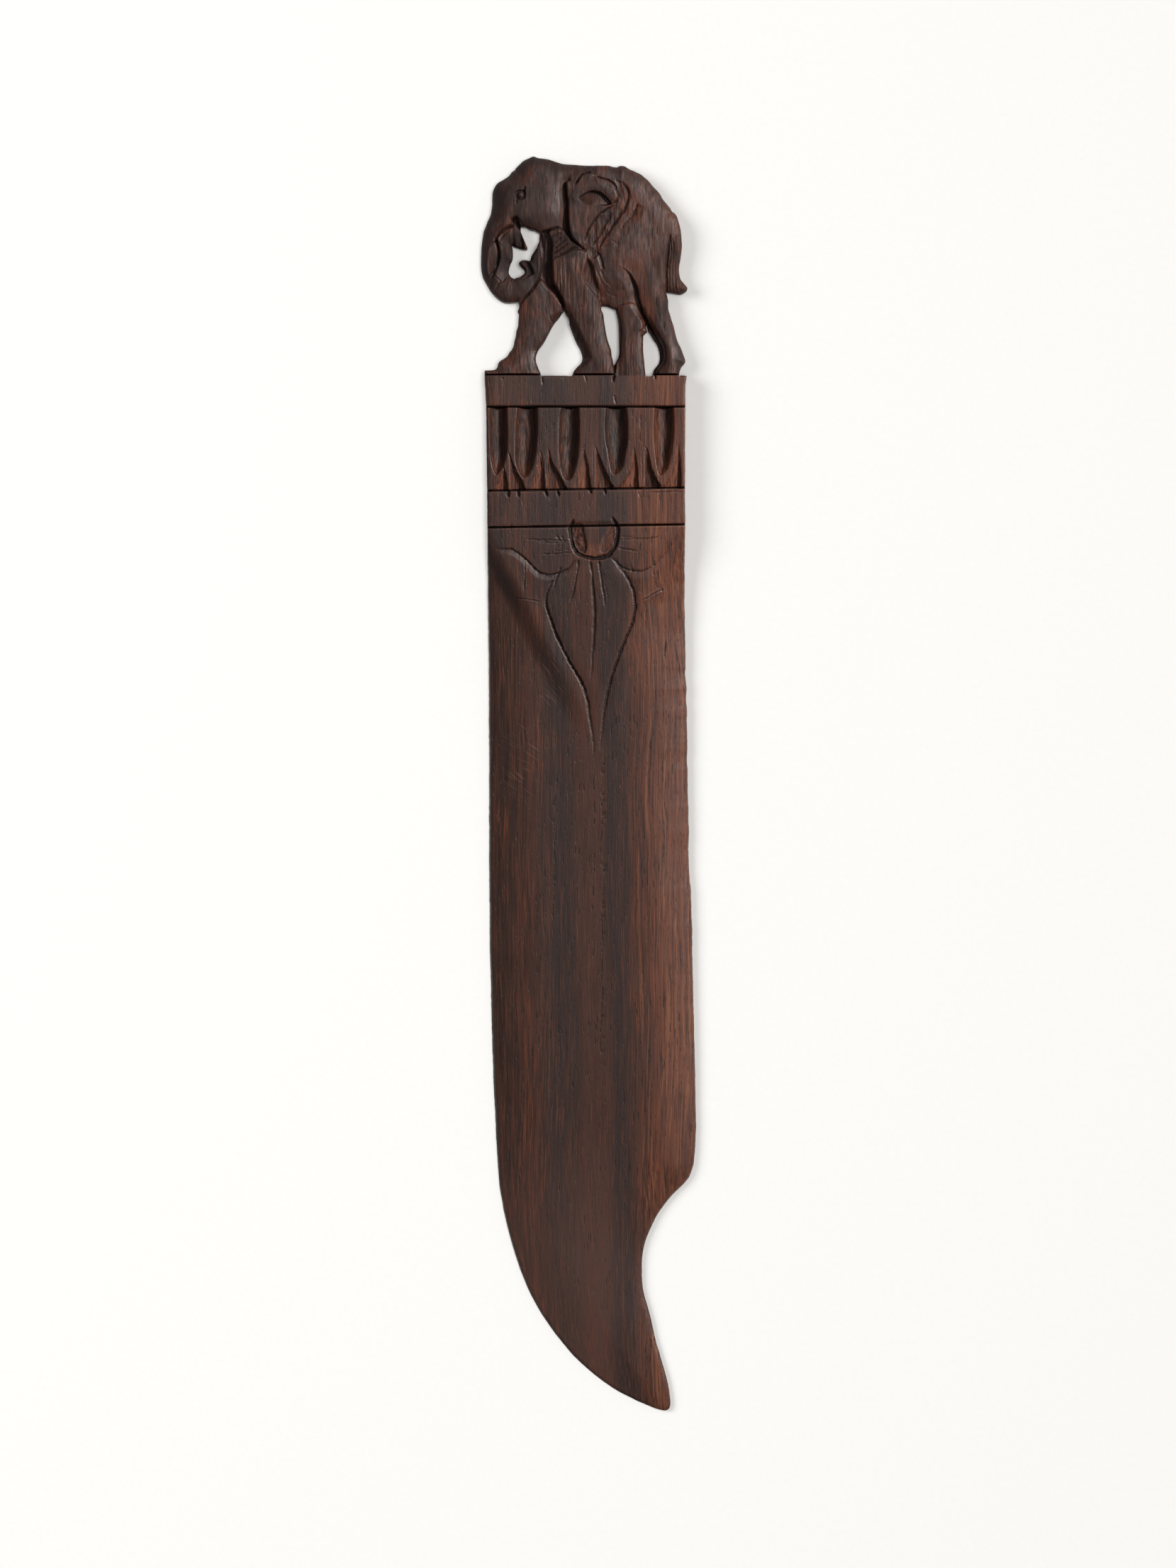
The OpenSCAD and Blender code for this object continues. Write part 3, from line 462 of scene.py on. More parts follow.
    # hollow under the fold, painted darker as shade and reddish
    fold = [(-15.5, 110.9), (-16.8, 110.3), (-17.7, 109.6), (-18.2, 108.7), (-17.9, 107.6), (-17.4, 107.8), (-16.8, 108.6), (-16.1, 109.4), (-15.4, 110)]
    dl = sd(P, spline(fold, True))
    R.z = R.z - 0.3 * ss(0, 0.7, dl)
    R.hollow_shade = np.maximum(R.hollow_shade, 0.45 * ss(0, 0.5, dl))
    R.warm_and_sheen = np.maximum(R.warm_and_sheen, 0.8 * ss(0, 0.5, dl))
    R.cut([(-15.5, 110.95), (-16.85, 110.35), (-17.7, 109.65), (-18.25, 108.7)], 0.5, 0.3, hollow_shade=0.5)
    R.cut([(-18.3, 108.5), (-17.8, 107.8), (-17.5, 106.9)], 0.3, 0.15, hollow_shade=0.2)
    # wrinkled patch at the bend
    d = sd(P, spline([(-18.2, 98.6), (-17.4, 100.2), (-16.2, 100.9), (-15.0, 100.2), (-15.2, 98.6), (-16.4, 97.6), (-17.6, 97.6)], True))
    R.torn = np.maximum(R.torn, 0.7 * ss(-0.2, 0.8, d))
    R.z = R.z + 0.12 * ss(-0.2, 0.8, d)
    for line in ([(-19.0, 101.8), (-18.2, 100.6), (-17.3, 99.9), (-16.4, 101.0), (-16.0, 102.0)], [(-18.3, 98.5), (-17.9, 99.6), (-17.4, 100.4)],
                 [(-18.7, 98.0), (-18.3, 99.0), (-18.0, 99.8)]):
        R.cut(line, 0.45, 0.16, 0.3, 0.3, hollow_shade=0.3)
    # finger of the trunk: a rim round the hole, and a hollow behind it, painted dark as shade
    hook = [(-13.3, 104.0), (-12.3, 104.15), (-11.75, 104.0), (-11.3, 103.2), (-10.9, 102.2), (-10.75, 101.4), (-11.5, 101.0), (-12.6, 100.5),
            (-13.4, 100.4), (-12.6, 101.0), (-12.25, 101.7), (-12.3, 102.5), (-12.8, 103.1)]
    d = R.put(hook, 3.35 + 0.1 * soft, 0.5)
    R.hollow_shade = np.maximum(R.hollow_shade, 0.85 * ss(-0.05, 0.35, d))

    # tusk, and the shaded mouth behind it
    mouth = [(-15.25, 112.4), (-14.2, 112.7), (-13.85, 111.6), (-13.7, 110), (-13.35, 108.4), (-13.2, 107.2), (-13.4, 106.0), (-15.6, 106.6), (-15.4, 108), (-15.3, 110)]
    d = R.put(mouth, 3.3 + 0.18 * noise(x / 0.35, y / 3, 24), 0.3)
    R.hollow_shade = np.maximum(R.hollow_shade, 0.6 * ss(-0.05, 0.3, d))
    R.torn = np.maximum(R.torn, 0.8 * ss(0, 0.3, d))
    R.warm_and_sheen = np.maximum(R.warm_and_sheen, 0.6 * ss(0, 0.3, d))
    tusk = [(-14.1, 112.9), (-13.8, 111.8), (-13.6, 110.4), (-13.2, 108.6), (-12.9, 107.2), (-12.9, 105.8), (-11.6, 106.2), (-11.9, 108), (-12.8, 110), (-13.0, 111.6)]
    d = R.put(tusk, 4.2 + 0 * x, 0.45)
    R.cut([(-14.3, 112.2), (-13.95, 110.6), (-13.55, 108.8), (-13.2, 107.1), (-13.15, 106.5)], 0.32, 0.5, 0.05, 0.02, hollow_shade=0.8)
    # cheek and jaw edge
    R.cut([(-9.6, 109.7), (-8.6, 109.9), (-7.4, 110.25), (-6.2, 110.6), (-5.2, 110.3), (-4.4, 109.4), (-3.4, 108.3), (-2.2, 107.2), (-0.8, 106.3),
           (-0.2, 105.8)], 0.6, 0.5, 0.05, 0.25, hollow_shade=0.8)
    # rolls of the neck
    for line, w, dp in (([(-7.35, 104.4), (-6.3, 104.9), (-5.0, 105.55), (-3.9, 106.15), (-2.9, 106.75)], 0.5, 0.55),
                        ([(-7.3, 105.35), (-6.2, 106.05), (-5.1, 106.8), (-4.1, 107.55)], 0.42, 0.42),
                        ([(-6.9, 106.5), (-6.1, 107.1), (-5.3, 107.75), (-4.6, 108.3)], 0.4, 0.36),
                        ([(-6.9, 107.6), (-6.2, 108.1), (-5.5, 108.7)], 0.34, 0.25),
                        ([(-7.6, 108.7), (-6.6, 109.2), (-5.6, 109.7)], 0.34, 0.2)):
        R.cut(line, w, dp, 0.1, 0.1, hollow_shade=0.85, warm_and_sheen=0.5)

    # torn grain on the near fore leg, below the shoulder and over the haunch
    patch = ss(-0.25, 0.45, noise(x / 2.2, y / 6.5, 18))
    R.torn = np.maximum(R.torn, 0.6 * patch * ss(-7.6, -7, x) * ss(4.5, 1.5, x + 0.33 * (y - 96)) * ss(107, 104, y))
    R.torn = np.maximum(R.torn, 0.5 * patch * ss(11, 13, x))
    R.warm_and_sheen = np.maximum(R.warm_and_sheen, 0.45 * patch * ss(107, 103, y) * ss(92, 95, y) * ss(-8, -7, x) * ss(6, 3, x))

    # ear
    ear = [(-4.45, 119.8), (-4.4, 117.5), (-4.1, 115.5), (-4.1, 113), (-4.0, 111.2), (-3.7, 109.5), (-3, 108.25), (-2.1, 107.35), (-1.2, 106.6),
           (-0.9, 107.6), (-0.4, 109.4), (0.3, 110.8), (1.3, 112.2), (2.3, 113.4), (3.6, 114.2), (4.6, 114.9), (5.3, 115.7), (5.8, 116.7),
           (5.6, 118), (5.15, 119), (4.2, 119.85), (3, 120.25), (2, 120.55), (1.3, 121.2), (0.6, 121.6), (-0.4, 121.55), (-1.3, 121.15),
           (-1.9, 120.4), (-2.4, 119.6), (-3.4, 119.9)]
    h = 4.84 - 0.0 * ss(-2.5, -4.0, x) + 0.05 * soft - 0.4 * ss(114, 107.5, y) * ss(-4, -1, x) + 0.2 * bell(np.abs(sd(P, spline(CRES, True)) + 1.0), 0.9) * ss(115.2, 117, y)
    d = R.put(ear, h, 0.42)
    top = ss(118.6, 120.4, y) * ss(-1.6, -3.4, x)
    R.z = R.z - 0.2 * top
    for line, w, dp, hh in (([(-2.75, 119.0), (-2.4, 119.7), (-1.95, 120.4), (-1.3, 121.1), (-0.4, 121.5), (0.7, 121.6)], 0.55, 0.45, 0.9),
                            ([(0.9, 121.0), (2.0, 120.6), (3.1, 120.35), (4.2, 119.95), (5.1, 119.2), (5.6, 118.2), (5.85, 117.0), (5.5, 115.9), (4.8, 115.1)], 0.4, 0.35, 0.55),
                            ([(4.6, 115.0), (3.6, 114.25), (2.3, 113.4), (1.3, 112.2), (0.3, 110.85), (-0.4, 109.4), (-0.85, 107.8)], 0.45, 0.4, 0.75),
                            ([(-4.75, 119.6), (-4.6, 117.8), (-4.4, 116.2), (-4.35, 114), (-4.35, 111.6), (-4.1, 109.6), (-3.4, 108.2), (-2.2, 107.1)], 0.5, 0.4, 0.7)):
        R.cut(line, w * 1.15, dp * 1.25, 0.08, 0.08, hollow_shade=hh)
    # hollow of the ear under its fold, with painted shade along the fold and in the hollow
    cres = CRES
    dl = sd(P, spline(cres, True))
    fold = spline([(-2.0, 116.4), (-1.2, 117.2), (-0.25, 117.75), (0.85, 118), (2.3, 117.7), (3.2, 117.05), (4, 116.25), (4.6, 115.15)])
    df, u, side = ld(P, fold)
    R.z = R.z - 1.15 * ss(-0.03, 0.3, dl) * np.clip(1 - df / 2.6, 0, 1) * ends(u, 0.06, 0.04)
    R.hollow_shade = np.maximum(R.hollow_shade, 0.9 * bell(df + 0.1, 0.38) * ends(u, 0.05, 0.05) * (side < 0))
    R.hollow_shade = np.maximum(R.hollow_shade, 0.25 * ss(0, 0.6, dl))

    # eye, with painted shade in the ring round it
    ring = spline([(-14.6, 116.9), (-14.3, 116.3), (-13.6, 116.1), (-12.9, 116.3), (-12.6, 116.9), (-12.6, 117.7), (-12.9, 118.1), (-13.6, 118.1),
                   (-14.2, 118.0), (-14.6, 117.6)], True)
    d = sd(P, ring)
    R.z = R.z - 0.5 * ss(-0.12, 0.16, d)
    R.hollow_shade = np.maximum(R.hollow_shade, 0.95 * ss(-0.15, 0.1, d))
    r = np.hypot(x + 13.6, y - 117.15)
    R.z = R.z + 0.45 * np.sqrt(np.maximum(1 - (r / 0.62) ** 2, 0))
    R.hollow_shade = R.hollow_shade * (1 - ss(0.75, 0.5, r))
    R.cut([(-12.9, 117.8), (-12.75, 118.3), (-12.5, 118.9)], 0.5, 0.4, 0.02, 0.4, hollow_shade=0.9)
    R.cut([(-14.1, 116.5), (-14.35, 116.0), (-14.5, 115.3)], 0.5, 0.4, 0.02, 0.4, hollow_shade=0.9)

    # darker patches over the head, trunk, ear, neck, near fore leg, the hind legs and the rump, added to the
    # painted-shade channel
    wave = 0.9 + 0.35 * noise(x / 2.0, y / 4.5, 27) + 0.2 * noise(x / 0.6, y / 2.0, 28)
    tone = 0.55 * ss(-4.4, -6.2, x) * ss(108.8, 110.8, y)
    tone = np.maximum(tone, 0.74 * ss(111.2, 109.4, y) * ss(-9.2, -10.2, x) * ss(95.2, 96.6, y) * (1 - ss(0, 0.6, sd(P, spline([(-9.3, 100.4), (-10.2, 100), (-11.4, 98.2), (-13, 96.2), (-13.9, 95.4), (-9, 94)], True)))))
    tone = np.maximum(tone, 0.42 * ss(-4.6, -3.8, x) * ss(5.4, 4.4, x) * ss(107, 109, y))
    tone = np.maximum(tone, 0.82 * ss(-7.6, -7.0, x) * ss(-1.2, -2.6, x) * ss(103.5, 105.2, y) * ss(110.5, 109.5, y))
    tone = np.maximum(tone, 0.40 * ss(-7.4, -6.0, x) * ss(4.8, 3.0, x + 0.3 * (y - 96) * (y > 96)) * ss(105, 103, y))
    tone = np.maximum(tone, 0.44 * ss(5.4, 6.2, x) * ss(11.4, 10.4, x) * ss(96, 94, y))
    tone = np.maximum(tone, 0.52 * ss(10.2, 12.2, x + 0.45 * (y - 95) * (y < 95)) * ss(107, 101, y))
    tone = np.maximum(tone, 0.55 * ss(11.5, 14, x) * ss(112, 106, y))
    R.hollow_shade = np.maximum(R.hollow_shade, tone * wave)
    # painted grey sheen on the fullest parts, stored as negative values of the reddish channel
    for cx, cy, rx, ry, a in ((8.5, 107.5, 4.8, 6.0, 0.55), (-11, 115.5, 4.0, 4.0, 0.35), (0.5, 112.5, 2.6, 3.2, 0.25), (-19.2, 109.6, 1.3, 3.0, 0.3), (-15.8, 104.5, 1.6, 3.0, 0.45),
                              (1.5, 87, 1.6, 4, 0.35), (9, 92, 1.3, 1.8, 0.45), (15.6, 88, 1.2, 4, 0.2), (13.2, 99, 1.4, 4, 0.2), (-13, 99.3, 2.6, 1.6, 0.3)):
        q = np.hypot((x - cx) / rx, (y - cy) / ry)
        R.warm_and_sheen = np.where(R.warm_and_sheen < 0.15, np.minimum(R.warm_and_sheen, -a * ss(1.25, 0.3, q + 0.25 * noise(x / 1.3, y / 4, 23))), R.warm_and_sheen)
    # rounding of the sawn outline
    near = ss(3.9, 4.5, R.z)
    r0, a0 = 1.5 + 0.5 * near, 0.55 + 0.4 * near
    R.z = R.z - a0 * (1 - crest(rim, r0)) - 0.1 * np.clip(1 - rim / 0.3, 0, 1)
    face = ss(-13.5, -17.5, x) * ss(97, 101, y)
    crown = ss(116.5, 121.5, y) * ss(3.5, -3.5, x)
    back = ss(109, 118, y) * ss(0, 6, x)
    rump = ss(10, 15, x) * ss(110, 104, y)
    wide = np.maximum(np.maximum(face, crown), np.maximum(0.7 * back, 0.45 * rump))
    R.z = R.z - 1.15 * wide * np.clip(1 - rim / 3.8, 0, 1) ** 1.6
    # painted shade on these outline slopes and along the whole sawn edge
    R.hollow_shade = np.maximum(R.hollow_shade, 0.72 * wide * np.clip(1.25 - rim / 4.0, 0, 1))
    R.hollow_shade = np.maximum(R.hollow_shade, 0.5 * np.clip(1 - rim / 0.9, 0, 1))
    # small chips and steps along the sawn edge
    R.z = R.z - 0.12 * np.clip(1 - rim / 0.7, 0, 1) * (noise(x / 0.9, y / 0.9, 41) > 0.35)

    # saw line at the feet, painted dark inside as shade
    k = np.abs(y - 81.42)
    m = (1 - ss(0.12, 0.18, k)) * (((x > -20.6) & (x < -9.4)) | ((x > -3.0) & (x < 5.05)) | ((x > 12.7) & (x < 18.1)))
    R.z = np.where(m > 0, R.z - 1.3 * m, R.z)
    R.hollow_shade = np.maximum(R.hollow_shade, m)
    # the cut between the feet that runs on into the plinth
    R.cut([(5.15, 83.6), (5.12, 82.6), (5.1, 81.6), (5.05, 80.6)], 0.5, 1.3, 0.02, 0.02, hollow_shade=1.0, sharp=0.6)

    # knife facets and torn fibres
    R.z = R.z + 0.03 * noise(x / 0.9, y / 2.2, 51) + 0.018 * noise(x / 0.45, y / 1.6, 52)
    fib = noise(x / 0.22, y / 2.4, 53) * 0.6 + noise(x / 0.14, y / 1.3, 54) * 0.4
    R.z = R.z + (0.018 + 0.075 * R.torn) * fib
    R.z = np.clip(R.z, 1.6, T)
    return R

# ---- seams, edges and the bands -----------------------------------------------------
SAW, SAW_D = 0.17, 0.9  # half width and depth of the saw lines


def k2(x):
    return np.full_like(x, 75.0)


def k3(x):
    return 58.3 + (x + 20) / 39 * 0.6


def k4(x):
    return 51.0 + (x + 20) / 39 * 0.6


LEFT = [(90, -20.75), (82, -20.75), (81, -20.7), (75, -20.4), (58, -20.2), (50, -20.1), (35, -20.05), (22, -19.9), (9, -19.84), (-15, -19.8),
        (-33, -19.65), (-48, -19.3), (-60.5, -18.85), (-71, -18.35)]
RIGHT = [(90, 19.55), (81, 19.5), (79.5, 19.2), (58, 19.15), (51, 19.2), (45, 19.1), (35, 19.1), (30, 19.2), (24, 19.2), (19, 19.5), (9, 19.6),
         (0, 19.75), (-10, 20.0), (-13, 19.8), (-17, 20.0), (-21, 20.35), (-29, 20.6), (-38, 20.75), (-45, 20.9), (-57.5, 21.2), (-69, 21.4)]
TIP = [(-18.35, -71), (-18.1, -75.3), (-17.5, -81.75), (-16.1, -88.6), (-14.3, -94.75), (-12.07, -100.6), (-9.33, -105.7), (-6.26, -110.1),
       (-2.8, -114.2), (0.92, -117.6), (5.0, -120.55), (8.8, -122.6), (12.2, -124.1), (13.9, -124.7), (15.2, -124.92), (15.95, -124.65),
       (16.28, -123.8), (16.2, -122.1), (15.8, -119.7), (14.9, -116.3), (14.1, -113.55), (13.2, -110.5), (12.4, -106.7), (11.35, -102.9),
       (10.76, -100.2), (10.56, -96.45), (10.76, -93.7), (11.35, -91), (12.5, -88.25), (13.7, -85.85), (15.3, -83.6), (17.0, -81.6),
       (19.0, -79.7), (20.2, -78), (20.85, -76), (21.07, -74.5), (21.28, -71.2), (21.4, -69)]


def side(pairs, y):
    a = np.asarray(pairs, float)[::-1]
    return np.interp(y, a[:, 0], a[:, 1])


def left_x(y):
    y = np.asarray(y, float)
    return side(LEFT, y) + 0.05 * noise(y / 3.1, 0 * y + 2.5, 61) + 0.03 * noise(y / 0.8, 0 * y + 4.5, 62)


def right_x(y):
    y = np.asarray(y, float)
    nick = ss(34, 26, y) * ss(-26, -18, y)
    w = 0.05 + 0.12 * nick
    chip = np.maximum(noise(y / 1.3, 0 * y + 8.5, 64) - 0.35, 0) * nick
    return side(RIGHT, y) + w * noise(y / 2.4, 0 * y + 6.5, 63) + 0.03 * noise(y / 0.7, 0 * y + 7.5, 65) - 0.25 * chip


def block(lo, hi, top=None):
    """Outline of a band between two seams, with its slightly uneven sawn sides."""
    def edge(fx, f, up):
        a, b = lo(np.array([fx(55.0)]))[0] if callable(lo) else lo, hi(np.array([fx(55.0)]))[0] if callable(hi) else hi
        return a, b
    yl0, yl1 = (f(np.array([-20.2]))[0] for f in (lo, hi))
    yr0, yr1 = (f(np.array([19.2]))[0] for f in (lo, hi))
    y = np.linspace(yr0, yr1, max(3, int((yr1 - yr0) / 0.2)))
    r = np.stack([right_x(y), y], 1)
    y = np.linspace(yl1, yl0, max(3, int((yl1 - yl0) / 0.2)))
    l = np.stack([left_x(y), y], 1)
    r[0, 1], r[-1, 1] = lo(r[:1, 0])[0], hi(r[-1:, 0])[0]
    l[0, 1], l[-1, 1] = hi(l[:1, 0])[0], lo(l[-1:, 0])[0]
    if top is None:
        t = np.linspace(r[-1, 0], l[0, 0], 200)[1:-1]
        top = np.stack([t, hi(t)], 1)
    t = np.linspace(l[-1, 0], r[0, 0], 200)[1:-1]
    bottom = np.stack([t, lo(t)], 1)
    return np.vstack([r, top, l, bottom])


def saw(R, k, hollow_shade=1.0, depth=SAW_D):
    """Half of a saw line along a seam, with ragged lips."""
    d = np.abs(R.y - k(R.x)) + 0.02 * noise(R.x / 0.9, 0 * R.x, 71)
    m = 1 - ss(SAW - 0.04, SAW + 0.04, d)
    R.z = R.z - depth * m - 0.06 * np.clip(1 - (d - SAW) / 0.25, 0, 1) * (1 - m)
    # the kerf is painted dark: painted shade
    R.hollow_shade = np.maximum(R.hollow_shade, hollow_shade * m)


def flanks(R, l=0.5, r=0.3, dl=0.45, dr=0.2):
    a, b = R.x - left_x(R.y), right_x(R.y) - R.x
    R.z = R.z - dl * (1 - crest(a, l)) - dr * (1 - crest(b, r))
    R.z = R.z - 0.15 * np.clip(1 - a / 2.2, 0, 1) ** 2


def skin(R, amp=1.0):
    """Planed and scraped surface."""
    x, y = R.x, R.y
    R.z = R.z + amp * (0.02 * noise(x / 3.2, y / 9, 81) + 0.012 * noise(x / 0.5, y / 14, 82) + 0.006 * noise(x / 0.2, y / 5, 83))


TOP_OF_PLINTH = [(19.5, 81.1), (18.9, 81.2), (17.9, 81.2), (12.75, 81.2), (12.5, 81.05), (11.6, 81.0), (11.3, 81.2), (5.3, 81.2), (5.05, 81.2),
                 (-3.25, 81.2), (-3.5, 81.08), (-4.5, 81.15), (-9.3, 81.15), (-9.55, 81.2), (-20.3, 81.2)]


def plinth_outline():
    t = even(TOP_OF_PLINTH, False, 0.2)
    p = block(k2, lambda x: np.full_like(x, 81.2), top=t)
    return p


def plinth(P):
    R = Relief(P, T - 0.02)
    skin(R)
    flanks(R, 0.75, 0.35, 0.6, 0.3)
    for a, b in ((-9.5, -3.3), (11.3, 12.75), (18.0, 21)):
        m = ss(a, a + 0.3, R.x) * ss(b, b - 0.3, R.x)
        R.z = R.z - 0.35 * m * (1 - crest(81.1 - R.y, 0.4))
    for line, w, dp in (([(5.12, 82), (5.1, 81.2), (5.02, 80.6), (4.9, 79.9)], 0.5, 1.2), ([(-9.2, 81.4), (-9.2, 80.4), (-9.1, 79.4)], 0.3, 0.5),
                        ([(-0.8, 81.4), (-0.6, 80.6), (-0.4, 79.9)], 0.25, 0.4), ([(5.2, 77.2), (5.3, 76.4), (5.5, 75.3)], 0.25, 0.4),
                        ([(13.1, 81.4), (13.2, 80.9), (13.25, 80.4)], 0.4, 0.6), ([(-17.5, 80.9), (-17.2, 80.6), (-17.0, 80.4)], 0.3, 0.2)):
        R.cut(line, w, dp, 0.02, 0.35, hollow_shade=0.9)
    saw(R, k2)
    return R


GOUGES = [
    [(-16.2, 75), (-16.1, 70), (-16.2, 66), (-16.6, 64), (-17.0, 63), (-17.6, 62), (-18.4, 61.4), (-19, 62.5), (-19.5, 65), (-19.75, 70), (-19.75, 75)],
    [(-10.2, 75), (-10.1, 70), (-10.3, 67), (-10.6, 65), (-11.1, 63), (-11.6, 62), (-12.2, 61.1), (-13, 60.95), (-13.6, 61.5), (-14.3, 63),
     (-14.6, 65), (-14.6, 68), (-14.5, 71), (-14.3, 73), (-14.2, 75)],
    [(-1.9, 75), (-1.8, 72), (-1.8, 69), (-2, 66), (-2.3, 64), (-2.8, 62), (-3.4, 60.7), (-4.2, 60.3), (-5.0, 61), (-5.6, 63), (-5.9, 66),
     (-5.9, 70), (-5.8, 73), (-5.5, 75)],
    [(7.5, 75), (7.8, 72), (7.8, 69), (7.6, 67), (7.2, 65), (7.0, 63.5), (6.5, 62.5), (5.8, 61.8), (5.2, 61.5), (4.6, 62), (4.2, 63.5),
     (3.8, 66), (3.4, 68), (3.2, 71), (3.3, 73), (3.4, 75)],
    [(16.9, 75), (17, 72), (16.9, 69), (16.5, 66), (16.1, 64), (15.7, 62.7), (15, 61.8), (14.4, 61.3), (13.9, 61.8), (13.5, 63.5),
     (13.2, 66), (12.95, 69), (13, 72), (13.1, 75)]]
# apex and right side, then left side; deep: steep on both sides
DARTS = [
    ([(-15.85, 66), (-15.2, 64), (-14.6, 62.5), (-13.9, 61.2), (-13.1, 59.9), (-12.6, 58.5)], [(-15.7, 63.5), (-15.6, 61), (-15.6, 58.4)], 0.7),
    ([(-9.7, 66.2), (-9.3, 64.5), (-9, 62.5), (-8.8, 60), (-8.75, 58.5)], [(-10.1, 64), (-10.6, 62), (-11.4, 60.3), (-12.2, 58.5)], 0.0),
    ([(-8.1, 66.8), (-7.6, 65), (-7, 63.3), (-6.2, 62), (-5.4, 60.5), (-4.7, 59.3), (-4.2, 58.6)], [(-8.2, 64), (-8.25, 61), (-8.2, 58.5)], 0.7),
    ([(-1.05, 67), (-0.6, 65.3), (-0.2, 63.5), (0.05, 61.5), (0.25, 60), (0.45, 58.7)], [(-1.5, 65), (-2.2, 62.8), (-3, 60.6), (-3.9, 58.5)], 0.0),
    ([(1.25, 67.1), (1.7, 66), (2.4, 64.5), (3, 62.8), (3.6, 61.5), (4.3, 60), (4.9, 59)], [(1.3, 65), (1.4, 62), (1.4, 59)], 0.7),
    ([(9.05, 67), (9.3, 65.5), (9.6, 63.5), (9.75, 61), (9.9, 58.9)], [(8.6, 64.8), (8.2, 63), (7.6, 61.3), (6.6, 60), (5.6, 58.9)], 0.1),
    ([(11.2, 67.1), (11.7, 66), (12.1, 64.5), (12.5, 62.6), (13.1, 61.3), (13.8, 60), (14.3, 59.2)], [(11.1, 65), (11.2, 62), (11.1, 59)], 1.0),
    ([(17.7, 67.6), (18, 66), (18.2, 64), (18.3, 61), (18.2, 59)], [(17.3, 65.5), (16.9, 63.5), (16.3, 61.5), (15.5, 60), (14.5, 59.1)], 0.1),
    ([(-17.0, 63.4), (-16.6, 62), (-16.3, 60.5), (-16.2, 58.4)], [(-17.2, 62.5), (-17.6, 61.5), (-18.3, 60), (-18.95, 58.4)], 0.1)]


def frieze(P):
    R = Relief(P, T - 0.02)
    x, y = R.x, R.y
    skin(R)
    for k, g in enumerate(GOUGES):
        g = g + [(g[-1][0], 78.5), (g[0][0], 78.5)]
        c = np.vstack([spline(g[:-2], False, 0.25), g[-2:]])
        d = sd(P, c, 3)
        depth = 1.9 - 0.2 * ss(66, 61.5, y) + 0.05 * noise(x / 1.5, y / 3, 90 + k)
        f = (1 - (1 - np.clip(d / 2.15, 0, 1)) ** 2) ** 0.85
        R.z = R.z - depth * f - 0.05 * bell(d, 0.15)
        rough = ss(0.0, 0.8, d)
        R.z = R.z + rough * (0.06 * noise(x / 0.35, y / 2.0, 100 + k) + 0.05 * noise(x / 0.2, y / 0.9, 110 + k))
        mid = 0.5 * (c[:, 0].min() + c[:, 0].max())
        # painted shade in the gouge, heavier towards its right wall, which faces away from the light
        R.hollow_shade = np.maximum(R.hollow_shade, (0.40 + 0.2 * ss(-0.3, 1.2, x - mid)) * ss(0.0, 0.7, d))
        # the gouge ran in with the grain: a lit, torn step at its lower end
        R.torn = np.maximum(R.torn, 0.8 * ss(0, 0.6, d))
        R.warm_and_sheen = np.maximum(R.warm_and_sheen, 0.35 * ss(0, 0.4, d) * ss(66, 62, y))
    for k, (right, left, deep) in enumerate(DARTS):
        rs, ls = spline(right), spline([right[0]] + left)
        low = [(rs[-1, 0] + 0.1, 57.0), (ls[-1, 0], 57.0)]
        poly = np.vstack([rs, low, ls[::-1][:-1]])
        d = sd(P, poly, 1.5)
        inside = d > -0.02
        dr, _, _ = ld(P, np.vstack([rs, low[:1]]), 4)
        dl, _, _ = ld(P, np.vstack([ls, low[1:]]), 4)
        t = np.clip((right[0][1] - y) / (right[0][1] - 58.6), 0, 1.1)
        soft = np.clip(dr / 0.3, 0, 1) * (np.clip(dl, 0, 9) / np.maximum(dl + 0.7 * dr, 1e-6)) ** 1.0
        steep = np.clip(dr / 0.3, 0, 1) * np.clip(dl / 0.45, 0, 1)
        f = soft * (1 - deep) + steep * deep
        # chopped step at the end, against the saw line
        depth = (0.25 + 1.15 * t**0.8) * ss(0, 0.16, t) * (1 + 0.12 * noise(x / 0.4, y / 3, 120 + k))
        R.z = np.where(inside, R.z - depth * f + 0.05 * noise(x / 0.25, y / 1.8, 130 + k) * f, R.z)
        # painted shade in the dart, more in the deep ones; its floor is painted reddish and lighter, partly the cut
        # fibres' colour, partly painted light
        R.hollow_shade = np.maximum(R.hollow_shade, np.where(inside, (0.16 + 0.5 * deep) * np.clip(f * 1.3, 0, 1) * ss(0, 0.35, t), 0))
        R.torn = np.maximum(R.torn, np.where(inside, 0.9 * ss(0, 0.3, f), 0))
        R.warm_and_sheen = np.maximum(R.warm_and_sheen, np.where(inside, (0.95 - 0.4 * (deep > 0.9)) * ss(0.05, 0.4, f), 0))
        # the knife's stop cuts
        R.cut(right, 0.3, 0.25 + 0.2 * deep, 0.1, 0.0, hollow_shade=0.75)
        R.cut([right[0]] + left, 0.2, 0.06, 0.1, 0.0, hollow_shade=0.25)
    # two fine ridges left between neighbouring chips, and scratches on the faces
    for line in ([(-8.45, 66.5), (-8.45, 63), (-8.45, 59.5)], [(0.85, 66), (0.9, 62), (0.95, 60)], [(10.5, 66.5), (10.6, 62), (10.5, 60)],
                 [(-13, 74.6), (-13.05, 73.8), (-13.1, 73.2)], [(10.2, 74.6), (10.25, 72), (10.3, 70)]):
        R.cut(line, 0.22, 0.1, 0.3, 0.3, hollow_shade=0.45)
    R.z = np.maximum(R.z, T - 2.1)
    flanks(R, 0.6, 0.3, 0.5, 0.25)
    saw(R, k2)
    saw(R, k3)
    R.z = np.maximum(R.z, T - 2.6)
    return R


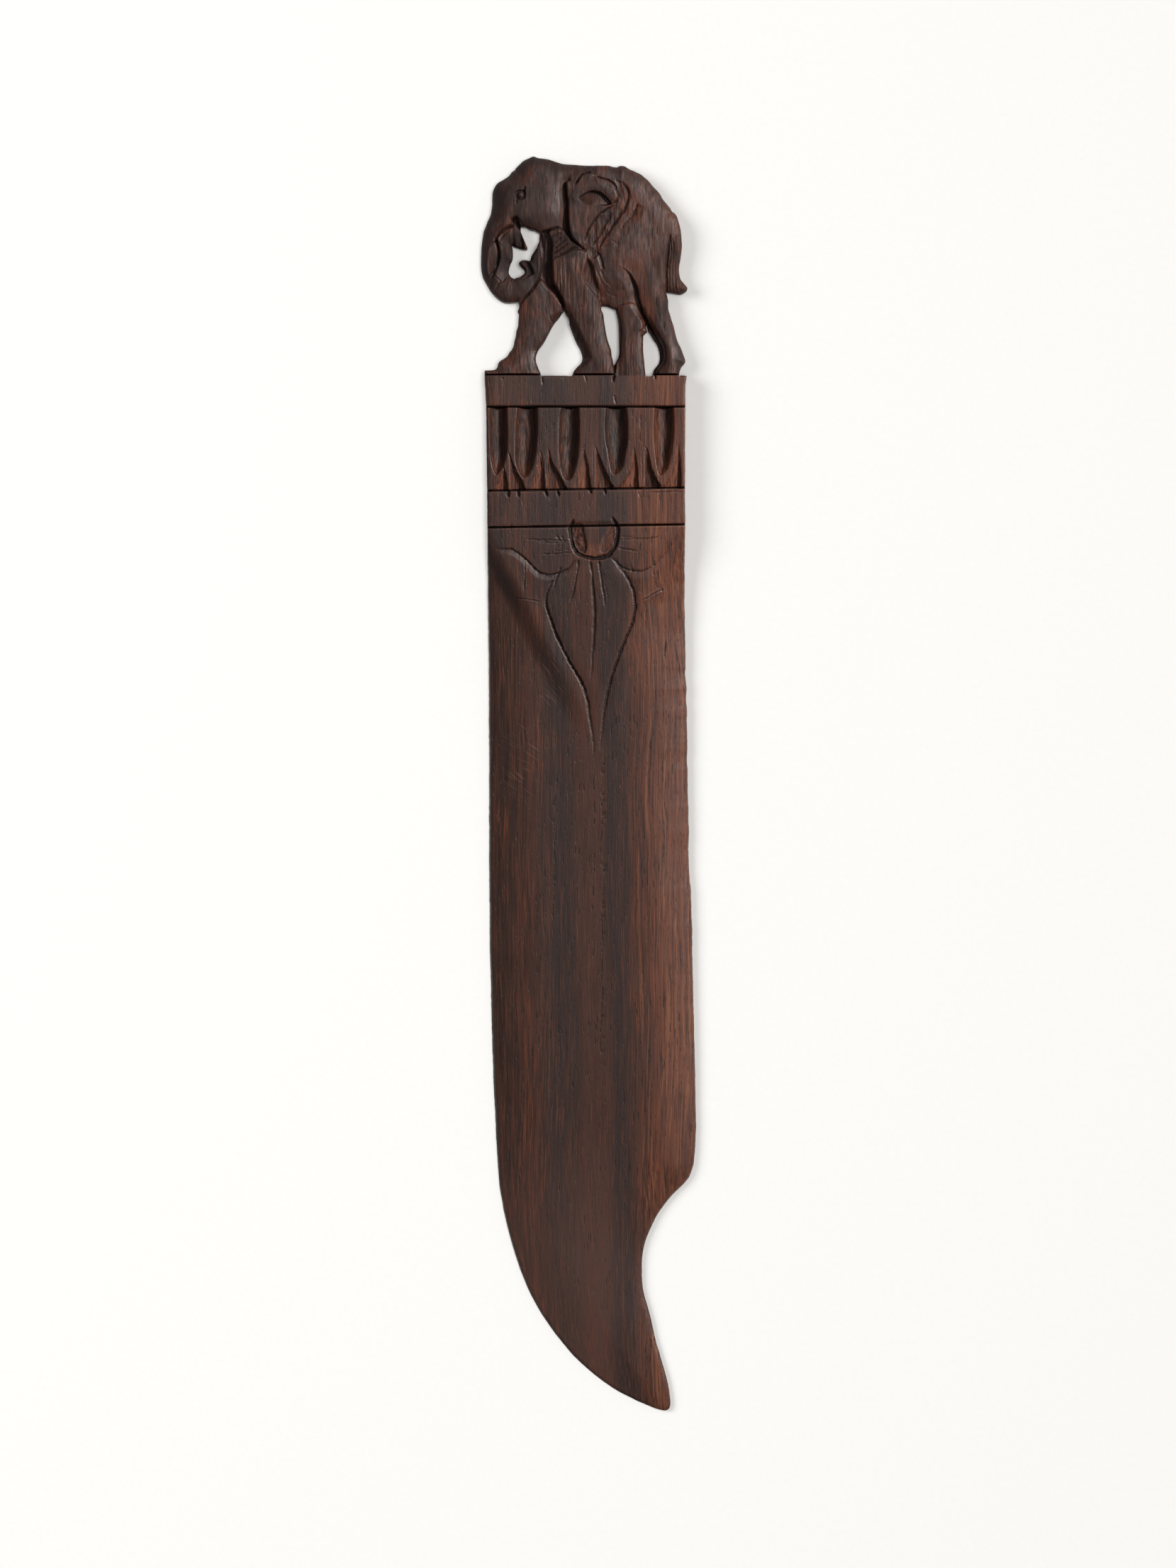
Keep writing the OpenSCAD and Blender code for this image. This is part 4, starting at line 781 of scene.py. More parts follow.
RING = [(-2.9, 52.7), (-3.3, 52.0), (-3.6, 50.5), (-3.2, 48), (-2.2, 46), (-0.3, 45.1), (1.5, 44.9), (3.5, 45.3), (4.9, 46.6), (5.6, 48.6),
        (5.8, 50.8), (5.3, 52.0), (4.9, 52.6), (4.65, 53.0)]


def ring(R):
    """The cup of the flower: a deep ring with a torn lobe and a hatched lobe inside; the ring, the pits and the
    hatching get painted shade.
    """
    x, y, P = R.x, R.y, R.P
    cup = sd(P, spline(RING, step=0.2), 2)
    R.z = R.z - 0.16 * ss(0, 0.6, cup) * ss(52.4, 51.4, y)
    lobe = [(-3.2, 51.2), (-2.9, 51.8), (-1.9, 52.0), (-1.0, 51.5), (-0.7, 50), (-0.35, 48.2), (-0.25, 46.8), (-0.7, 45.7), (-1.7, 46), (-2.7, 47.4), (-3.2, 49.4)]
    d = sd(P, spline(lobe, True))
    pit = noise(x / 0.38, y / 0.42, 141)
    R.z = R.z - ss(0, 0.35, d) * (0.42 + 0.16 * pit)
    R.hollow_shade = np.maximum(R.hollow_shade, ss(0, 0.3, d) * (0.55 - 0.45 * pit))
    R.warm_and_sheen = np.maximum(R.warm_and_sheen, ss(0, 0.3, d))
    R.torn = np.maximum(R.torn, ss(0, 0.3, d))
    lobe = [(2.2, 46.2), (3.2, 45.9), (4.3, 46.6), (5.0, 48), (5.3, 49.8), (5.1, 51.2), (4.4, 51.6), (3.6, 50.4), (2.7, 48.8)]
    d = sd(P, spline(lobe, True))
    q = (x * 0.86 + y * 0.5) / 0.36
    tri = np.abs((q % 1.0) - 0.5) * 2
    R.z = R.z - ss(0, 0.3, d) * (0.08 + 0.17 * tri)
    R.hollow_shade = np.maximum(R.hollow_shade, ss(0, 0.3, d) * (0.2 + 0.6 * tri))
    R.warm_and_sheen = np.maximum(R.warm_and_sheen, 0.9 * ss(0, 0.3, d))
    R.torn = np.maximum(R.torn, 0.6 * ss(0, 0.3, d))
    q = (x * 0.9 + y * 0.25) / 0.42
    low = ss(48.4, 47.2, y) * ss(0, 0.5, cup)
    R.z = R.z - 0.05 * low * np.abs((q % 1.0) - 0.5) * 2
    R.warm_and_sheen = np.maximum(R.warm_and_sheen, 0.55 * low)
    R.cut(RING, 0.95, 0.8, 0.06, 0.06, hollow_shade=1.0, sharp=0.75)


def collar(P):
    R = Relief(P, T - 0.02)
    x, y = R.x, R.y
    skin(R)
    ring(R)
    for line in ([(-16.05, 58.6), (-16.0, 57.9), (-15.85, 57.0)], [(-14.05, 58.6), (-13.95, 57.9), (-13.8, 57.0)], [(-8.65, 58.8), (-8.5, 58), (-8.3, 57.0)],
                 [(-6.25, 58.8), (-6.15, 58.1), (-5.9, 57.2)], [(0.1, 58.9), (0.25, 58.5), (0.5, 57.7)], [(3.05, 58.9), (3.25, 58.4), (3.5, 57.5)]):
        R.cut(line, 0.62, 0.6, 0.0, 0.3, hollow_shade=1.0, sharp=0.7)
    for line, w, dp in (([(11.5, 57.95), (14, 58.05), (16.5, 58.1), (19, 58.15)], 0.25, 0.18), ([(-13.2, 56.6), (-13.1, 55.9), (-12.9, 55.2)], 0.22, 0.15),
                        ([(9.9, 57.9), (10.1, 57.4), (10.15, 56.9)], 0.25, 0.2), ([(5.5, 57.6), (5.6, 57), (5.6, 56.3)], 0.2, 0.12),
                        ([(16.1, 58), (16.15, 57), (16.2, 55.5)], 0.16, 0.08), ([(-12.4, 57), (-12.3, 54.5), (-12.35, 52.5)], 0.14, 0.08)):
        R.cut(line, w, dp, 0.2, 0.2, hollow_shade=0.6)
    flanks(R, 0.5, 0.3, 0.45, 0.25)
    saw(R, k3)
    saw(R, k4)
    R.z = np.maximum(R.z, T - 2.2)
    return R


PLAIN_T = [(-125, 1.2), (-118, 1.6), (-95, 2.45), (-60, 3.04), (0, 3.3), (36, 3.55), (44, 4.1), (50, 4.75), (52, 4.95)]
PANEL_T = [(4, 3.3), (10, 3.45), (16, 3.75), (24, 4.15), (34, 4.55), (42, 4.85), (47, 4.97), (53, 5.0)]


def blade_outline():
    y0, y1 = k4(np.array([-20.1]))[0], k4(np.array([19.2]))[0]
    y = np.arange(-69, y1, 0.2)
    r = np.stack([right_x(y), y], 1)
    r = np.vstack([r, [(right_x(y1), y1)]])
    y = np.arange(y0, -71, -0.2)
    l = np.stack([left_x(y), y], 1)
    t = np.linspace(r[-1, 0], l[0, 0], 200)[1:-1]
    tip = spline(TIP, step=0.25)[1:-1]
    w = 0.03 * noise(tip[:, 1] / 1.7, tip[:, 0] / 1.7, 66)
    return np.vstack([r, np.stack([t, k4(t)], 1), l, tip + np.stack([w, w], 1)])


def blade(P):
    x, y = P[:, 0], P[:, 1]
    plain = table(PLAIN_T, y)
    panel = table(PANEL_T, y)
    body = BLADE_LOOP.copy()
    body[body[:, 1] > 50.8, 1] = 60
    d = sd(P, body, 1)
    lens = 1 - (1 - np.clip(d / 10.5, 0, 1)) ** 2
    e = table([(-125, 0.95), (-100, 1.15), (0, 1.7), (30, 2.2), (40, 3.0), (48, 4.4), (52, 4.95)], y)
    face = e + (plain - e) * lens
    face = face - 0.25 * np.clip(1 - d / 0.5, 0, 1) ** 2 * ss(56, 40, y)
    # the raised ground of the flower runs out into the blade
    lf = spline([(-21.5, 51.5), (-20.2, 48.2), (-17.6, 43.0), (-15.0, 38.2), (-12.6, 33.4), (-10.4, 28.8), (-8.2, 24.6), (-5.6, 19.6), (-3.0, 14.8), (0, 9.5), (1.2, 6)])
    rt = spline([(21.5, 54), (19.4, 50.6), (16.8, 47), (14.6, 42.8), (12.6, 38), (10.8, 33), (9.2, 28.2), (7.2, 22.6), (5.2, 17), (3.6, 11.5), (2.4, 6)])
    poly = np.vstack([lf, rt[::-1], [(22, 60), (-22, 60)]])
    s = sd(P, poly, 9)
    dl, _, _ = ld(P, lf, 9)
    dr, _, _ = ld(P, rt, 9)
    left = dl < dr
    w = np.where(left, ss(-2.4, 1.8, s), ss(-4.2, 3.0, s))
    top = np.maximum(panel, face)
    R = Relief(P, face * (1 - w) + top * w)
    # painted shade down the left-falling facet of the flower's ground, with a little reddish colour, and in the top
    # left corner
    edge = np.where(left, bell(s + 0.6, 2.2), 0) * ss(8, 24, y)
    R.hollow_shade = np.maximum(R.hollow_shade, (0.5 + 0.3 * ss(28, 40, y)) * edge)
    R.warm_and_sheen = np.maximum(R.warm_and_sheen, 0.3 * edge * ss(24, 34, y))
    corner = ss(-14.5, -17.5, R.x) * ss(34, 40, y) * ss(53, 50, y)
    R.hollow_shade = np.maximum(R.hollow_shade, 0.55 * corner)

    # petals, leaves and veins
    pl = [(-5.9, 42), (-7.5, 39.9), (-8.35, 37.6), (-8.4, 35.6), (-7.2, 31.8), (-5.6, 27.9), (-3.6, 24), (-1.7, 20.8), (-0.4, 17.5), (0.3, 13), (0.85, 9.1), (1.05, 5.9)]
    pr = [(4.45, 45.1), (6.4, 42.8), (8, 40.5), (9, 38.25), (9.3, 35.35), (8.8, 32.45), (7.7, 29.5), (6.4, 26.3), (5.1, 22.75), (3.95, 19.2), (3.3, 15.6), (2.7, 11.4), (2.25, 6.5)]
    # a shaving taken off outside each petal line, deepest at the line
    for line, sgn, w_, dp in ((pl, -1, 2.2, 0.14), (pr, 1, 2.6, 0.18)):
        dd, u, sde = ld(P, spline(line), 4)
        out = sde == sgn
        R.z = R.z - dp * ends(u, 0.25, 0.3) * np.where(out, np.clip(1 - dd / w_, 0, 1) ** 1.6, 0)
        # and the petal's own edge rolls over to the line
        R.z = R.z - 0.11 * ends(u, 0.2, 0.25) * np.where(~out, np.clip(1 - dd / 2.2, 0, 1) ** 2, 0)
    R.cut(pl, 0.62, 0.55, 0.25, 0.35, hollow_shade=1.0)
    R.cut([(q - 0.3, r + 0.4) for q, r in pl[2:9]], 0.3, 0.2, 0.35, 0.4, hollow_shade=0.85)
    R.cut(pr, 0.58, 0.5, 0.15, 0.3, hollow_shade=1.0)
    R.cut([(q - 0.35, r - 0.2) for q, r in pr[3:10]], 0.28, 0.2, 0.35, 0.4, hollow_shade=0.8)
    R.cut([(4.9, 44.9), (6.7, 43.0), (8.3, 40.8), (9.35, 38.4)], 0.3, 0.12, 0.1, 0.4, hollow_shade=0.4)
    R.cut([(0.25, 44.6), (0.75, 41.5), (0.9, 38.2), (1.2, 33.7), (0.95, 29.2), (0.75, 25.3), (0.4, 20.4)], 0.6, 0.42, 0.04, 0.35, hollow_shade=0.9)
    R.cut([(1.5, 34), (1.45, 31), (1.1, 28), (0.85, 25.4)], 0.3, 0.15, 0.3, 0.3, hollow_shade=0.5)
    R.cut([(-2, 44.6), (-2.35, 41.5), (-3, 38.2), (-3.8, 36)], 0.5, 0.36, 0.04, 0.25, hollow_shade=0.85)
    R.cut([(-2.5, 43.4), (-2.9, 41), (-3.5, 38.4)], 0.25, 0.12, 0.2, 0.3, hollow_shade=0.5)
    R.cut([(-5.4, 43.1), (-5.9, 42), (-6.6, 40.3), (-7.1, 38.4)], 0.45, 0.28, 0.05, 0.3, hollow_shade=0.75)
    R.cut([(-6.5, 41.6), (-7.2, 40.2), (-7.5, 38.8)], 0.25, 0.14, 0.2, 0.3, hollow_shade=0.5)
    R.cut([(2, 44.4), (2.5, 40.8), (3, 37.8), (3.15, 35)], 0.45, 0.34, 0.04, 0.3, hollow_shade=0.8)
    R.cut([(2.6, 42.8), (3.2, 40), (3.75, 37.4), (3.8, 35.4)], 0.22, 0.12, 0.2, 0.4, hollow_shade=0.45)
    # left leaf: its lower wall faces the light
    leaf = [(-18.6, 46.9), (-17, 46.75), (-15.4, 46.7), (-13.35, 45.5), (-11.4, 43.6), (-9.8, 42.1), (-7.85, 41.6), (-5.9, 42), (-4, 42.9), (-2.7, 44.6)]
    dd, u, sde = ld(P, spline(leaf), 3)
    R.z = R.z - np.where(sde < 0, 0.27 * ends(u, 0.15, 0.25) * np.clip(1 - dd / 1.2, 0, 1) ** 1.2, 0)
    R.cut(leaf, 0.4, 0.3, 0.2, 0.1, hollow_shade=0.85)
    leaf = [(5.1, 44.6), (6.7, 43.1), (9, 42.35), (11.25, 42.6), (13.2, 43.8), (14.8, 45.4), (16.4, 47.6), (17.7, 49.9)]
    dd, u, sde = ld(P, spline(leaf), 3)
    R.z = R.z - np.where(sde < 0, 0.15 * ends(u, 0.2, 0.4) * np.clip(1 - dd / 1.6, 0, 1) ** 1.4, 0)
    R.cut(leaf[:5], 0.35, 0.26, 0.1, 0.4, hollow_shade=0.75)
    R.cut(leaf[4:], 0.8, 0.1, 0.3, 0.5, hollow_shade=0.15)
    for line, w_, dp, hh, lp in (([(-12.7, 48.75), (-10, 48.5), (-6.5, 48.45), (-3.6, 48.35)], 0.32, 0.2, 0.6, 0.03), ([(-10.1, 48.15), (-7, 47.95), (-3.4, 48.25)], 0.3, 0.2, 0.6, 0.05),
                                 ([(-9.5, 45.7), (-6.5, 45.75), (-3.0, 46.1)], 0.32, 0.22, 0.6, 0.06), ([(-8.0, 46.2), (-5.5, 46.3), (-3.1, 46.6)], 0.22, 0.1, 0.3, 0.03),
                                 ([(-6.2, 49.3), (-6.0, 48.8), (-5.6, 48.4)], 0.5, 0.3, 0.9, 0.0), ([(-5.4, 49.2), (-5.2, 48.8), (-5.0, 48.5)], 0.4, 0.25, 0.9, 0.0),
                                 ([(6.2, 48.6), (9, 48.75), (12, 48.8), (14.6, 49.4)], 0.3, 0.2, 0.55, 0.05), ([(5.9, 49.2), (7.5, 49.1), (9, 49.1)], 0.22, 0.12, 0.3, 0.03),
                                 ([(5.7, 46.9), (7.5, 46.7), (9.6, 46.3)], 0.4, 0.24, 0.6, 0.07), ([(-12.6, 43.9), (-12.7, 41), (-12.95, 38.3)], 0.3, 0.22, 0.85, 0.02),
                                 ([(-12.1, 43.6), (-12.25, 41), (-12.4, 39)], 0.22, 0.12, 0.5, 0.0), ([(-15.45, 37.05), (-12.7, 36.8), (-9.5, 36.25)], 0.3, 0.2, 0.5, 0.06),
                                 ([(12.7, 42.6), (13.1, 40.6), (13.8, 38.7)], 0.25, 0.14, 0.45, 0.04), ([(10.3, 36.3), (12.6, 37.6), (15.2, 38.9)], 0.34, 0.2, 0.35, 0.1),
                                 ([(13.0, 44.4), (13.1, 43.8), (13.1, 43.3)], 0.3, 0.2, 0.8, 0.0), ([(8.4, 43.2), (8.6, 42.6), (8.7, 42.2)], 0.35, 0.25, 0.8, 0.0),
                                 ([(14.6, 38.9), (14.7, 38.5), (14.7, 38.2)], 0.3, 0.2, 0.8, 0.0)):
        R.cut(line, w_, dp, 0.2, 0.2, hollow_shade=hh, lip=lp)
    ring(R)
    # splits that opened along the grain
    for line, w_, dp in (([(3.1, 5.5), (2.95, -2), (3.05, -9)], 0.2, 0.25), ([(2.9, -10), (3.0, -18), (2.85, -26), (2.9, -33)], 0.16, 0.18), ([(2.9, -38), (2.85, -47), (2.95, -58)], 0.14, 0.14),
                         ([(15.3, 29), (15.2, 27), (15.25, 24.5)], 0.22, 0.2)):
        R.cut(line, w_, dp, 0.2, 0.2, hollow_shade=0.95)
    x_ = R.x
    R.z = R.z + 0.035 * noise(x_ / 4.5, y / 16, 151) + 0.014 * noise(x_ / 0.6, y / 22, 152) + 0.006 * noise(x_ / 0.25, y / 6, 153)
    fl = right_x(y) - x_
    R.z = R.z - 0.3 * (1 - crest(d, 0.45)) * ss(58, 40, y)
    flanks(R, 0.35, 0.25, 0.35, 0.2)
    saw(R, k4)
    R.z = np.clip(R.z, 0.8, T)
    return R


BLADE_LOOP = blade_outline()
# ---- meshes --------------------------------------------------------------------------
def hexes(lo, hi, step):
    nx, ny = int((hi[0] - lo[0]) / step) + 2, int((hi[1] - lo[1]) / (step * 0.866)) + 2
    i, j = np.meshgrid(np.arange(nx), np.arange(ny))
    g = np.stack([(lo[0] + (i + 0.5 * (j % 2)) * step).ravel(), (lo[1] + j * step * 0.866).ravel()], 1)
    a, b = np.arange(len(g)), np.zeros(len(g), int)
    return g + step * 0.12 * np.stack([_hash(a, b, 7), _hash(a, b, 9)], 1)


def inward(loop, off):
    """Points a little way into the wood from a closed line; works for either direction of travel."""
    t = np.roll(loop, -1, 0) - np.roll(loop, 1, 0)
    t = t / np.maximum(np.hypot(*t.T), 1e-9)[:, None]
    n = np.stack([-t[:, 1], t[:, 0]], 1)
    return np.vstack([loop + off * n, loop - off * n])


def cover(loops, wood, zones, rims, extra=None):
    """Triangles over the flat region: points on its edge, rings just inside it, then a grid that is finer in some zones."""
    ring = np.vstack(loops)
    free = []
    for off in rims:
        q = np.vstack([inward(l, off) for l in loops])
        free.append(q[np.abs(wood(q) - off) < 0.03 * off + 0.004])
    if extra is not None and len(extra):
        free.append(extra[wood(extra) > 0.03])
    lo, hi = ring.min(0), ring.max(0)
    for a, b, step in zones:
        g = hexes((lo[0], max(lo[1], a)), (hi[0], min(hi[1], b)), step)
        g = g[(g[:, 1] < b)]
        w = wood(g)
        free.append(g[w > (rims[-1] + 0.35 * step if rims else 0.5 * step)])
    pts = np.vstack([ring] + free)
    edges, s = [], 0
    for l in loops:
        n = len(l)
        edges += [(s + i, s + (i + 1) % n) for i in range(n)]
        s += n
    co, _, fa, orig, _, _ = delaunay_2d_cdt([Vector(p) for p in pts], edges, [], 0, 1e-6)
    co = np.array([(c[0], c[1]) for c in co])
    fa = np.array([f for f in fa if len(f) == 3])
    where = np.full(len(pts), -1)
    for k, o in enumerate(orig):
        for i in o:
            where[i] = k
    inside = wood(co[fa].mean(1)) > 0
    fa = fa[inside]
    a, b, c = co[fa[:, 0]], co[fa[:, 1]], co[fa[:, 2]]
    turn = (b[:, 0] - a[:, 0]) * (c[:, 1] - a[:, 1]) - (b[:, 1] - a[:, 1]) * (c[:, 0] - a[:, 0])
    fa[turn < 0] = fa[turn < 0][:, ::-1]
    fa = fa[np.abs(turn) > 1e-9]
    return co, fa, where[:len(ring)]


def build(name, loops, wood, relief, zones, extra=None, back=None, cavity_shade_gain=1.0):
    """A closed carved piece: relief on the face, sawn walls, and a plain planed back."""
    co, top, rim = cover(loops, wood, zones, (0.05, 0.14, 0.3), extra)
    R = relief(co)
    zt = R.z
    # how far each point lies below its neighbours: recesses get painted shade and some dirt, and ridges a painted
    # highlight
    e = np.unique(np.sort(np.vstack([top[:, [0, 1]], top[:, [1, 2]], top[:, [2, 0]]]), axis=1), axis=0)
    cnt = np.maximum(np.bincount(e.ravel(), minlength=len(co)), 1)
    zs = zt.copy()
    cavity_shade = np.zeros(len(co))
    for k in range(14):
        zs = 0.5 * zs + 0.5 * (np.bincount(e[:, 0], zs[e[:, 1]], len(co)) + np.bincount(e[:, 1], zs[e[:, 0]], len(co))) / cnt
        if k in (3, 13):
            cavity_shade = cavity_shade + 0.5 * (zs - zt) / (0.08 if k == 3 else 0.16)
    cavity_shade = cavity_shade_gain * np.clip(cavity_shade, -1, 1)
    cb, low, rimb = cover(loops, wood, [(-999, 999, 0.9)], (0.2,), None)
    db = wood(cb)
    zb = 0.3 * (1 - crest(db, 0.5)) + 0.05 * (1 + noise(cb[:, 0] / 2.6, cb[:, 1] / 17, 201)) * ss(0, 0.8, db) if back is None else back(cb, db)
    n0, n1 = len(co), len(cb)
    V = [np.column_stack([co, zt]), np.column_stack([cb, zb])]
    # the back is painted a little darker throughout
    A = [np.column_stack([R.hollow_shade, R.torn, R.warm_and_sheen, cavity_shade]), np.column_stack([np.full(n1, 0.25), np.full(n1, 0.1), np.zeros(n1), np.zeros(n1)])]
    F = [top, low[:, ::-1] + n0]
    quads, at, s = [], n0 + n1, 0
    for loop in loops:
        n = len(loop)
        a, b = rim[s:s + n], rimb[s:s + n] + n0
        s += n
        p, q = co[rim[s - n:s]], None
        z1, z0 = zt[a], zb[b - n0]
        t = np.roll(p, -1, 0) - np.roll(p, 1, 0)
        t = t / np.maximum(np.hypot(*t.T), 1e-9)[:, None]
        area = 0.5 * np.sum(p[:, 0] * np.roll(p[:, 1], -1) - np.roll(p[:, 0], -1) * p[:, 1])
        out = np.stack([t[:, 1], -t[:, 0]], 1)
        probe = wood(p + 0.05 * out)
        out = out * np.where(probe.mean() < 0, 1, -1)
        arc = np.concatenate([[0], np.cumsum(np.hypot(*np.diff(p, axis=0).T))])
        rings = [a]
        levels = (0.93, 0.72, 0.5, 0.28, 0.08)
        for f in levels:
            z = z0 + (z1 - z0) * f
            w = 0.03 * noise(arc / 0.7, z / 2.5, 211) + 0.02 * noise(arc / 0.25, z / 1.2, 212) + 0.03 * (f in (0.5, 0.28, 0.72))
            w = w * np.sin(np.pi * f) - (0.05 if f < 0.1 else 0)
            rings.append(at + np.arange(n))
            V.append(np.column_stack([p + w[:, None] * out * 0.8, z]))
            # the sawn walls are painted a little darker throughout
            A.append(np.column_stack([np.full(n, 0.35), np.full(n, 0.35), np.full(n, 0.1), np.zeros(n)]))
            at += n
        rings.append(b)
        sign = np.where(probe.mean() < 0, 1, -1)
        ccw = (area > 0) == (sign > 0)
        for r0, r1 in zip(rings[:-1], rings[1:]):
            i, j = np.arange(n), (np.arange(n) + 1) % n
            # counter-clockwise travel with the outside on the right: faces turn outwards
            travel_right_out = (t[:, 1] * out[:, 0] - t[:, 0] * out[:, 1]).mean() > 0
            if travel_right_out:
                quads.append(np.stack([r0[i], r1[i], r1[j], r0[j]], 1))
            else:
                quads.append(np.stack([r0[j], r1[j], r1[i], r0[i]], 1))
    V, A = np.vstack(V), np.vstack(A)
    tris, quads = np.vstack(F), np.vstack(quads)
    me = bpy.data.meshes.new(name)
    nt, nq = len(tris), len(quads)
    me.vertices.add(len(V))
    me.vertices.foreach_set("co", (V * 0.001).astype(np.float32).ravel())
    me.loops.add(3 * nt + 4 * nq)
    me.loops.foreach_set("vertex_index", np.concatenate([tris.ravel(), quads.ravel()]).astype(np.int32))
    me.polygons.add(nt + nq)
    me.polygons.foreach_set("loop_start", np.concatenate([np.arange(nt) * 3, 3 * nt + np.arange(nq) * 4]).astype(np.int32))
    me.polygons.foreach_set("loop_total", np.concatenate([np.full(nt, 3), np.full(nq, 4)]).astype(np.int32))
    me.polygons.foreach_set("use_smooth", np.ones(nt + nq, bool))
    me.update(calc_edges=True)
    me.validate()
    at_ = me.attributes.new("carve", "FLOAT_COLOR", "POINT")
    at_.data.foreach_set("color", A.astype(np.float32).ravel())
    ob = bpy.data.objects.new(name, me)
    bpy.context.scene.collection.objects.link(ob)
    print("piece", name, len(V), "points", nt + 2 * nq, "triangles")
    return ob


def seam_rows(k, lo=-20.6, hi=19.9, side_=1):
    """Rows of points beside a seam, so that the saw line's wall is crisp."""
    x = np.arange(lo, hi, 0.2)
    return np.vstack([np.stack([x, k(x) + side_ * o], 1) for o in (0.06, SAW - 0.05, SAW - 0.015, SAW + 0.02, SAW + 0.06, SAW + 0.14)])


def foot_rows():
    x = np.arange(-20.6, 18.4, 0.2)
    return np.vstack([np.stack([x, np.full_like(x, 81.42 + o)], 1) for o in (-0.18, -0.14, -0.11, 0, 0.11, 0.14, 0.18)])

WORLD = 0.2
CAM_X, CAM_Y = -0.00013, 0.0
# name, place, aim, size, watts, colour, what it lights
LAMPS = [
    ("key", (0.78, 0.44, 0.80), (0, 0.02, 0), 0.24, 15.5, (1.0, 0.975, 0.95), "wood"),
    ("sheen", (0.30, 0.55, 1.5), (0, 0, 0), 0.45, 3.5, (0.93, 0.96, 1.0), "wood"),
    ("floor_side", (-1.5, 0.45, 1.26), (0, 0, 0), 1.2, 24.0, (1.0, 0.99, 0.97), "floor"),
    ("floor_top", (0.2, 0.0, 1.9), (0, 0, 0), 0.7, 20.7, (1.0, 0.99, 0.965), "floor"),
]

# ---- materials -------------------------------------------------------------------------
def rgb(r, g, b):
    """A colour as it looks on a screen, 0 to 255, as the renderer wants it."""
    return tuple((v / 255 / 12.92) if v / 255 <= 0.04045 else ((v / 255 + 0.055) / 1.055) ** 2.4 for v in (r, g, b)) + (1.0,)


class Nodes:
    def __init__(self, name):
        self.m = bpy.data.materials.new(name)
        self.m.use_nodes = True
        self.t = self.m.node_tree
        self.t.nodes.clear()

    def n(self, kind, **k):
        node = self.t.nodes.new("ShaderNode" + kind)
        for a, v in k.items():
            setattr(node, a, v)
        return node

    def put(self, socket, v):
        if isinstance(v, bpy.types.NodeSocket):
            self.t.links.new(v, socket)
        elif v is not None:
            socket.default_value = v

    def math(self, op, a, b=None, c=None, clamp=False):
        n = self.n("Math", operation=op, use_clamp=clamp)
        for i, v in enumerate((a, b, c)):
            self.put(n.inputs[i], v)
        return n.outputs[0]

    def mul(self, a, b, clamp=False):
        return self.math("MULTIPLY", a, b, clamp=clamp)

    def add(self, a, b, clamp=False):
        return self.math("ADD", a, b, clamp=clamp)

    def vec(self, x, y, z):
        n = self.n("CombineXYZ")
        for i, v in enumerate((x, y, z)):
            self.put(n.inputs[i], v)
        return n.outputs[0]

    def sep(self, v):
        n = self.n("SeparateColor")
        self.put(n.inputs[0], v)
        return n.outputs[:3]

    def noise(self, v, scale=1.0, detail=2.0, rough=0.5, out=0):
        n = self.n("TexNoise")
        self.put(n.inputs["Vector"], v)
        n.inputs["Scale"].default_value, n.inputs["Detail"].default_value, n.inputs["Roughness"].default_value = scale, detail, rough
        return n.outputs[out]

    def voro(self, v, randomness=1.0):
        n = self.n("TexVoronoi", feature="F1")
        self.put(n.inputs["Vector"], v)
        n.inputs["Scale"].default_value = 1.0
        n.inputs["Randomness"].default_value = randomness
        return n.outputs["Distance"], n.outputs["Color"]

    def ramp(self, v, stops, mode="LINEAR"):
        n = self.n("ValToRGB")
        n.color_ramp.interpolation = mode
        el = n.color_ramp.elements
        while len(el) > 1:
            el.remove(el[-1])
        el[0].position, el[0].color = stops[0][0], stops[0][1]
        for p, c in stops[1:]:
            el.new(p).color = c
        self.put(n.inputs[0], v)
        return n.outputs[0]

    def span(self, v, a, b, lo=0.0, hi=1.0, smooth=True):
        n = self.n("MapRange", interpolation_type="SMOOTHSTEP" if smooth else "LINEAR")
        self.put(n.inputs[0], v)
        for i, q in enumerate((a, b, lo, hi)):
            n.inputs[i + 1].default_value = q
        return n.outputs[0]

    def mix(self, f, a, b, blend="MIX"):
        n = self.n("Mix", data_type="RGBA", blend_type=blend)
        self.put(n.inputs[0], f)
        self.put(n.inputs[6], a)
        self.put(n.inputs[7], b)
        return n.outputs[2]


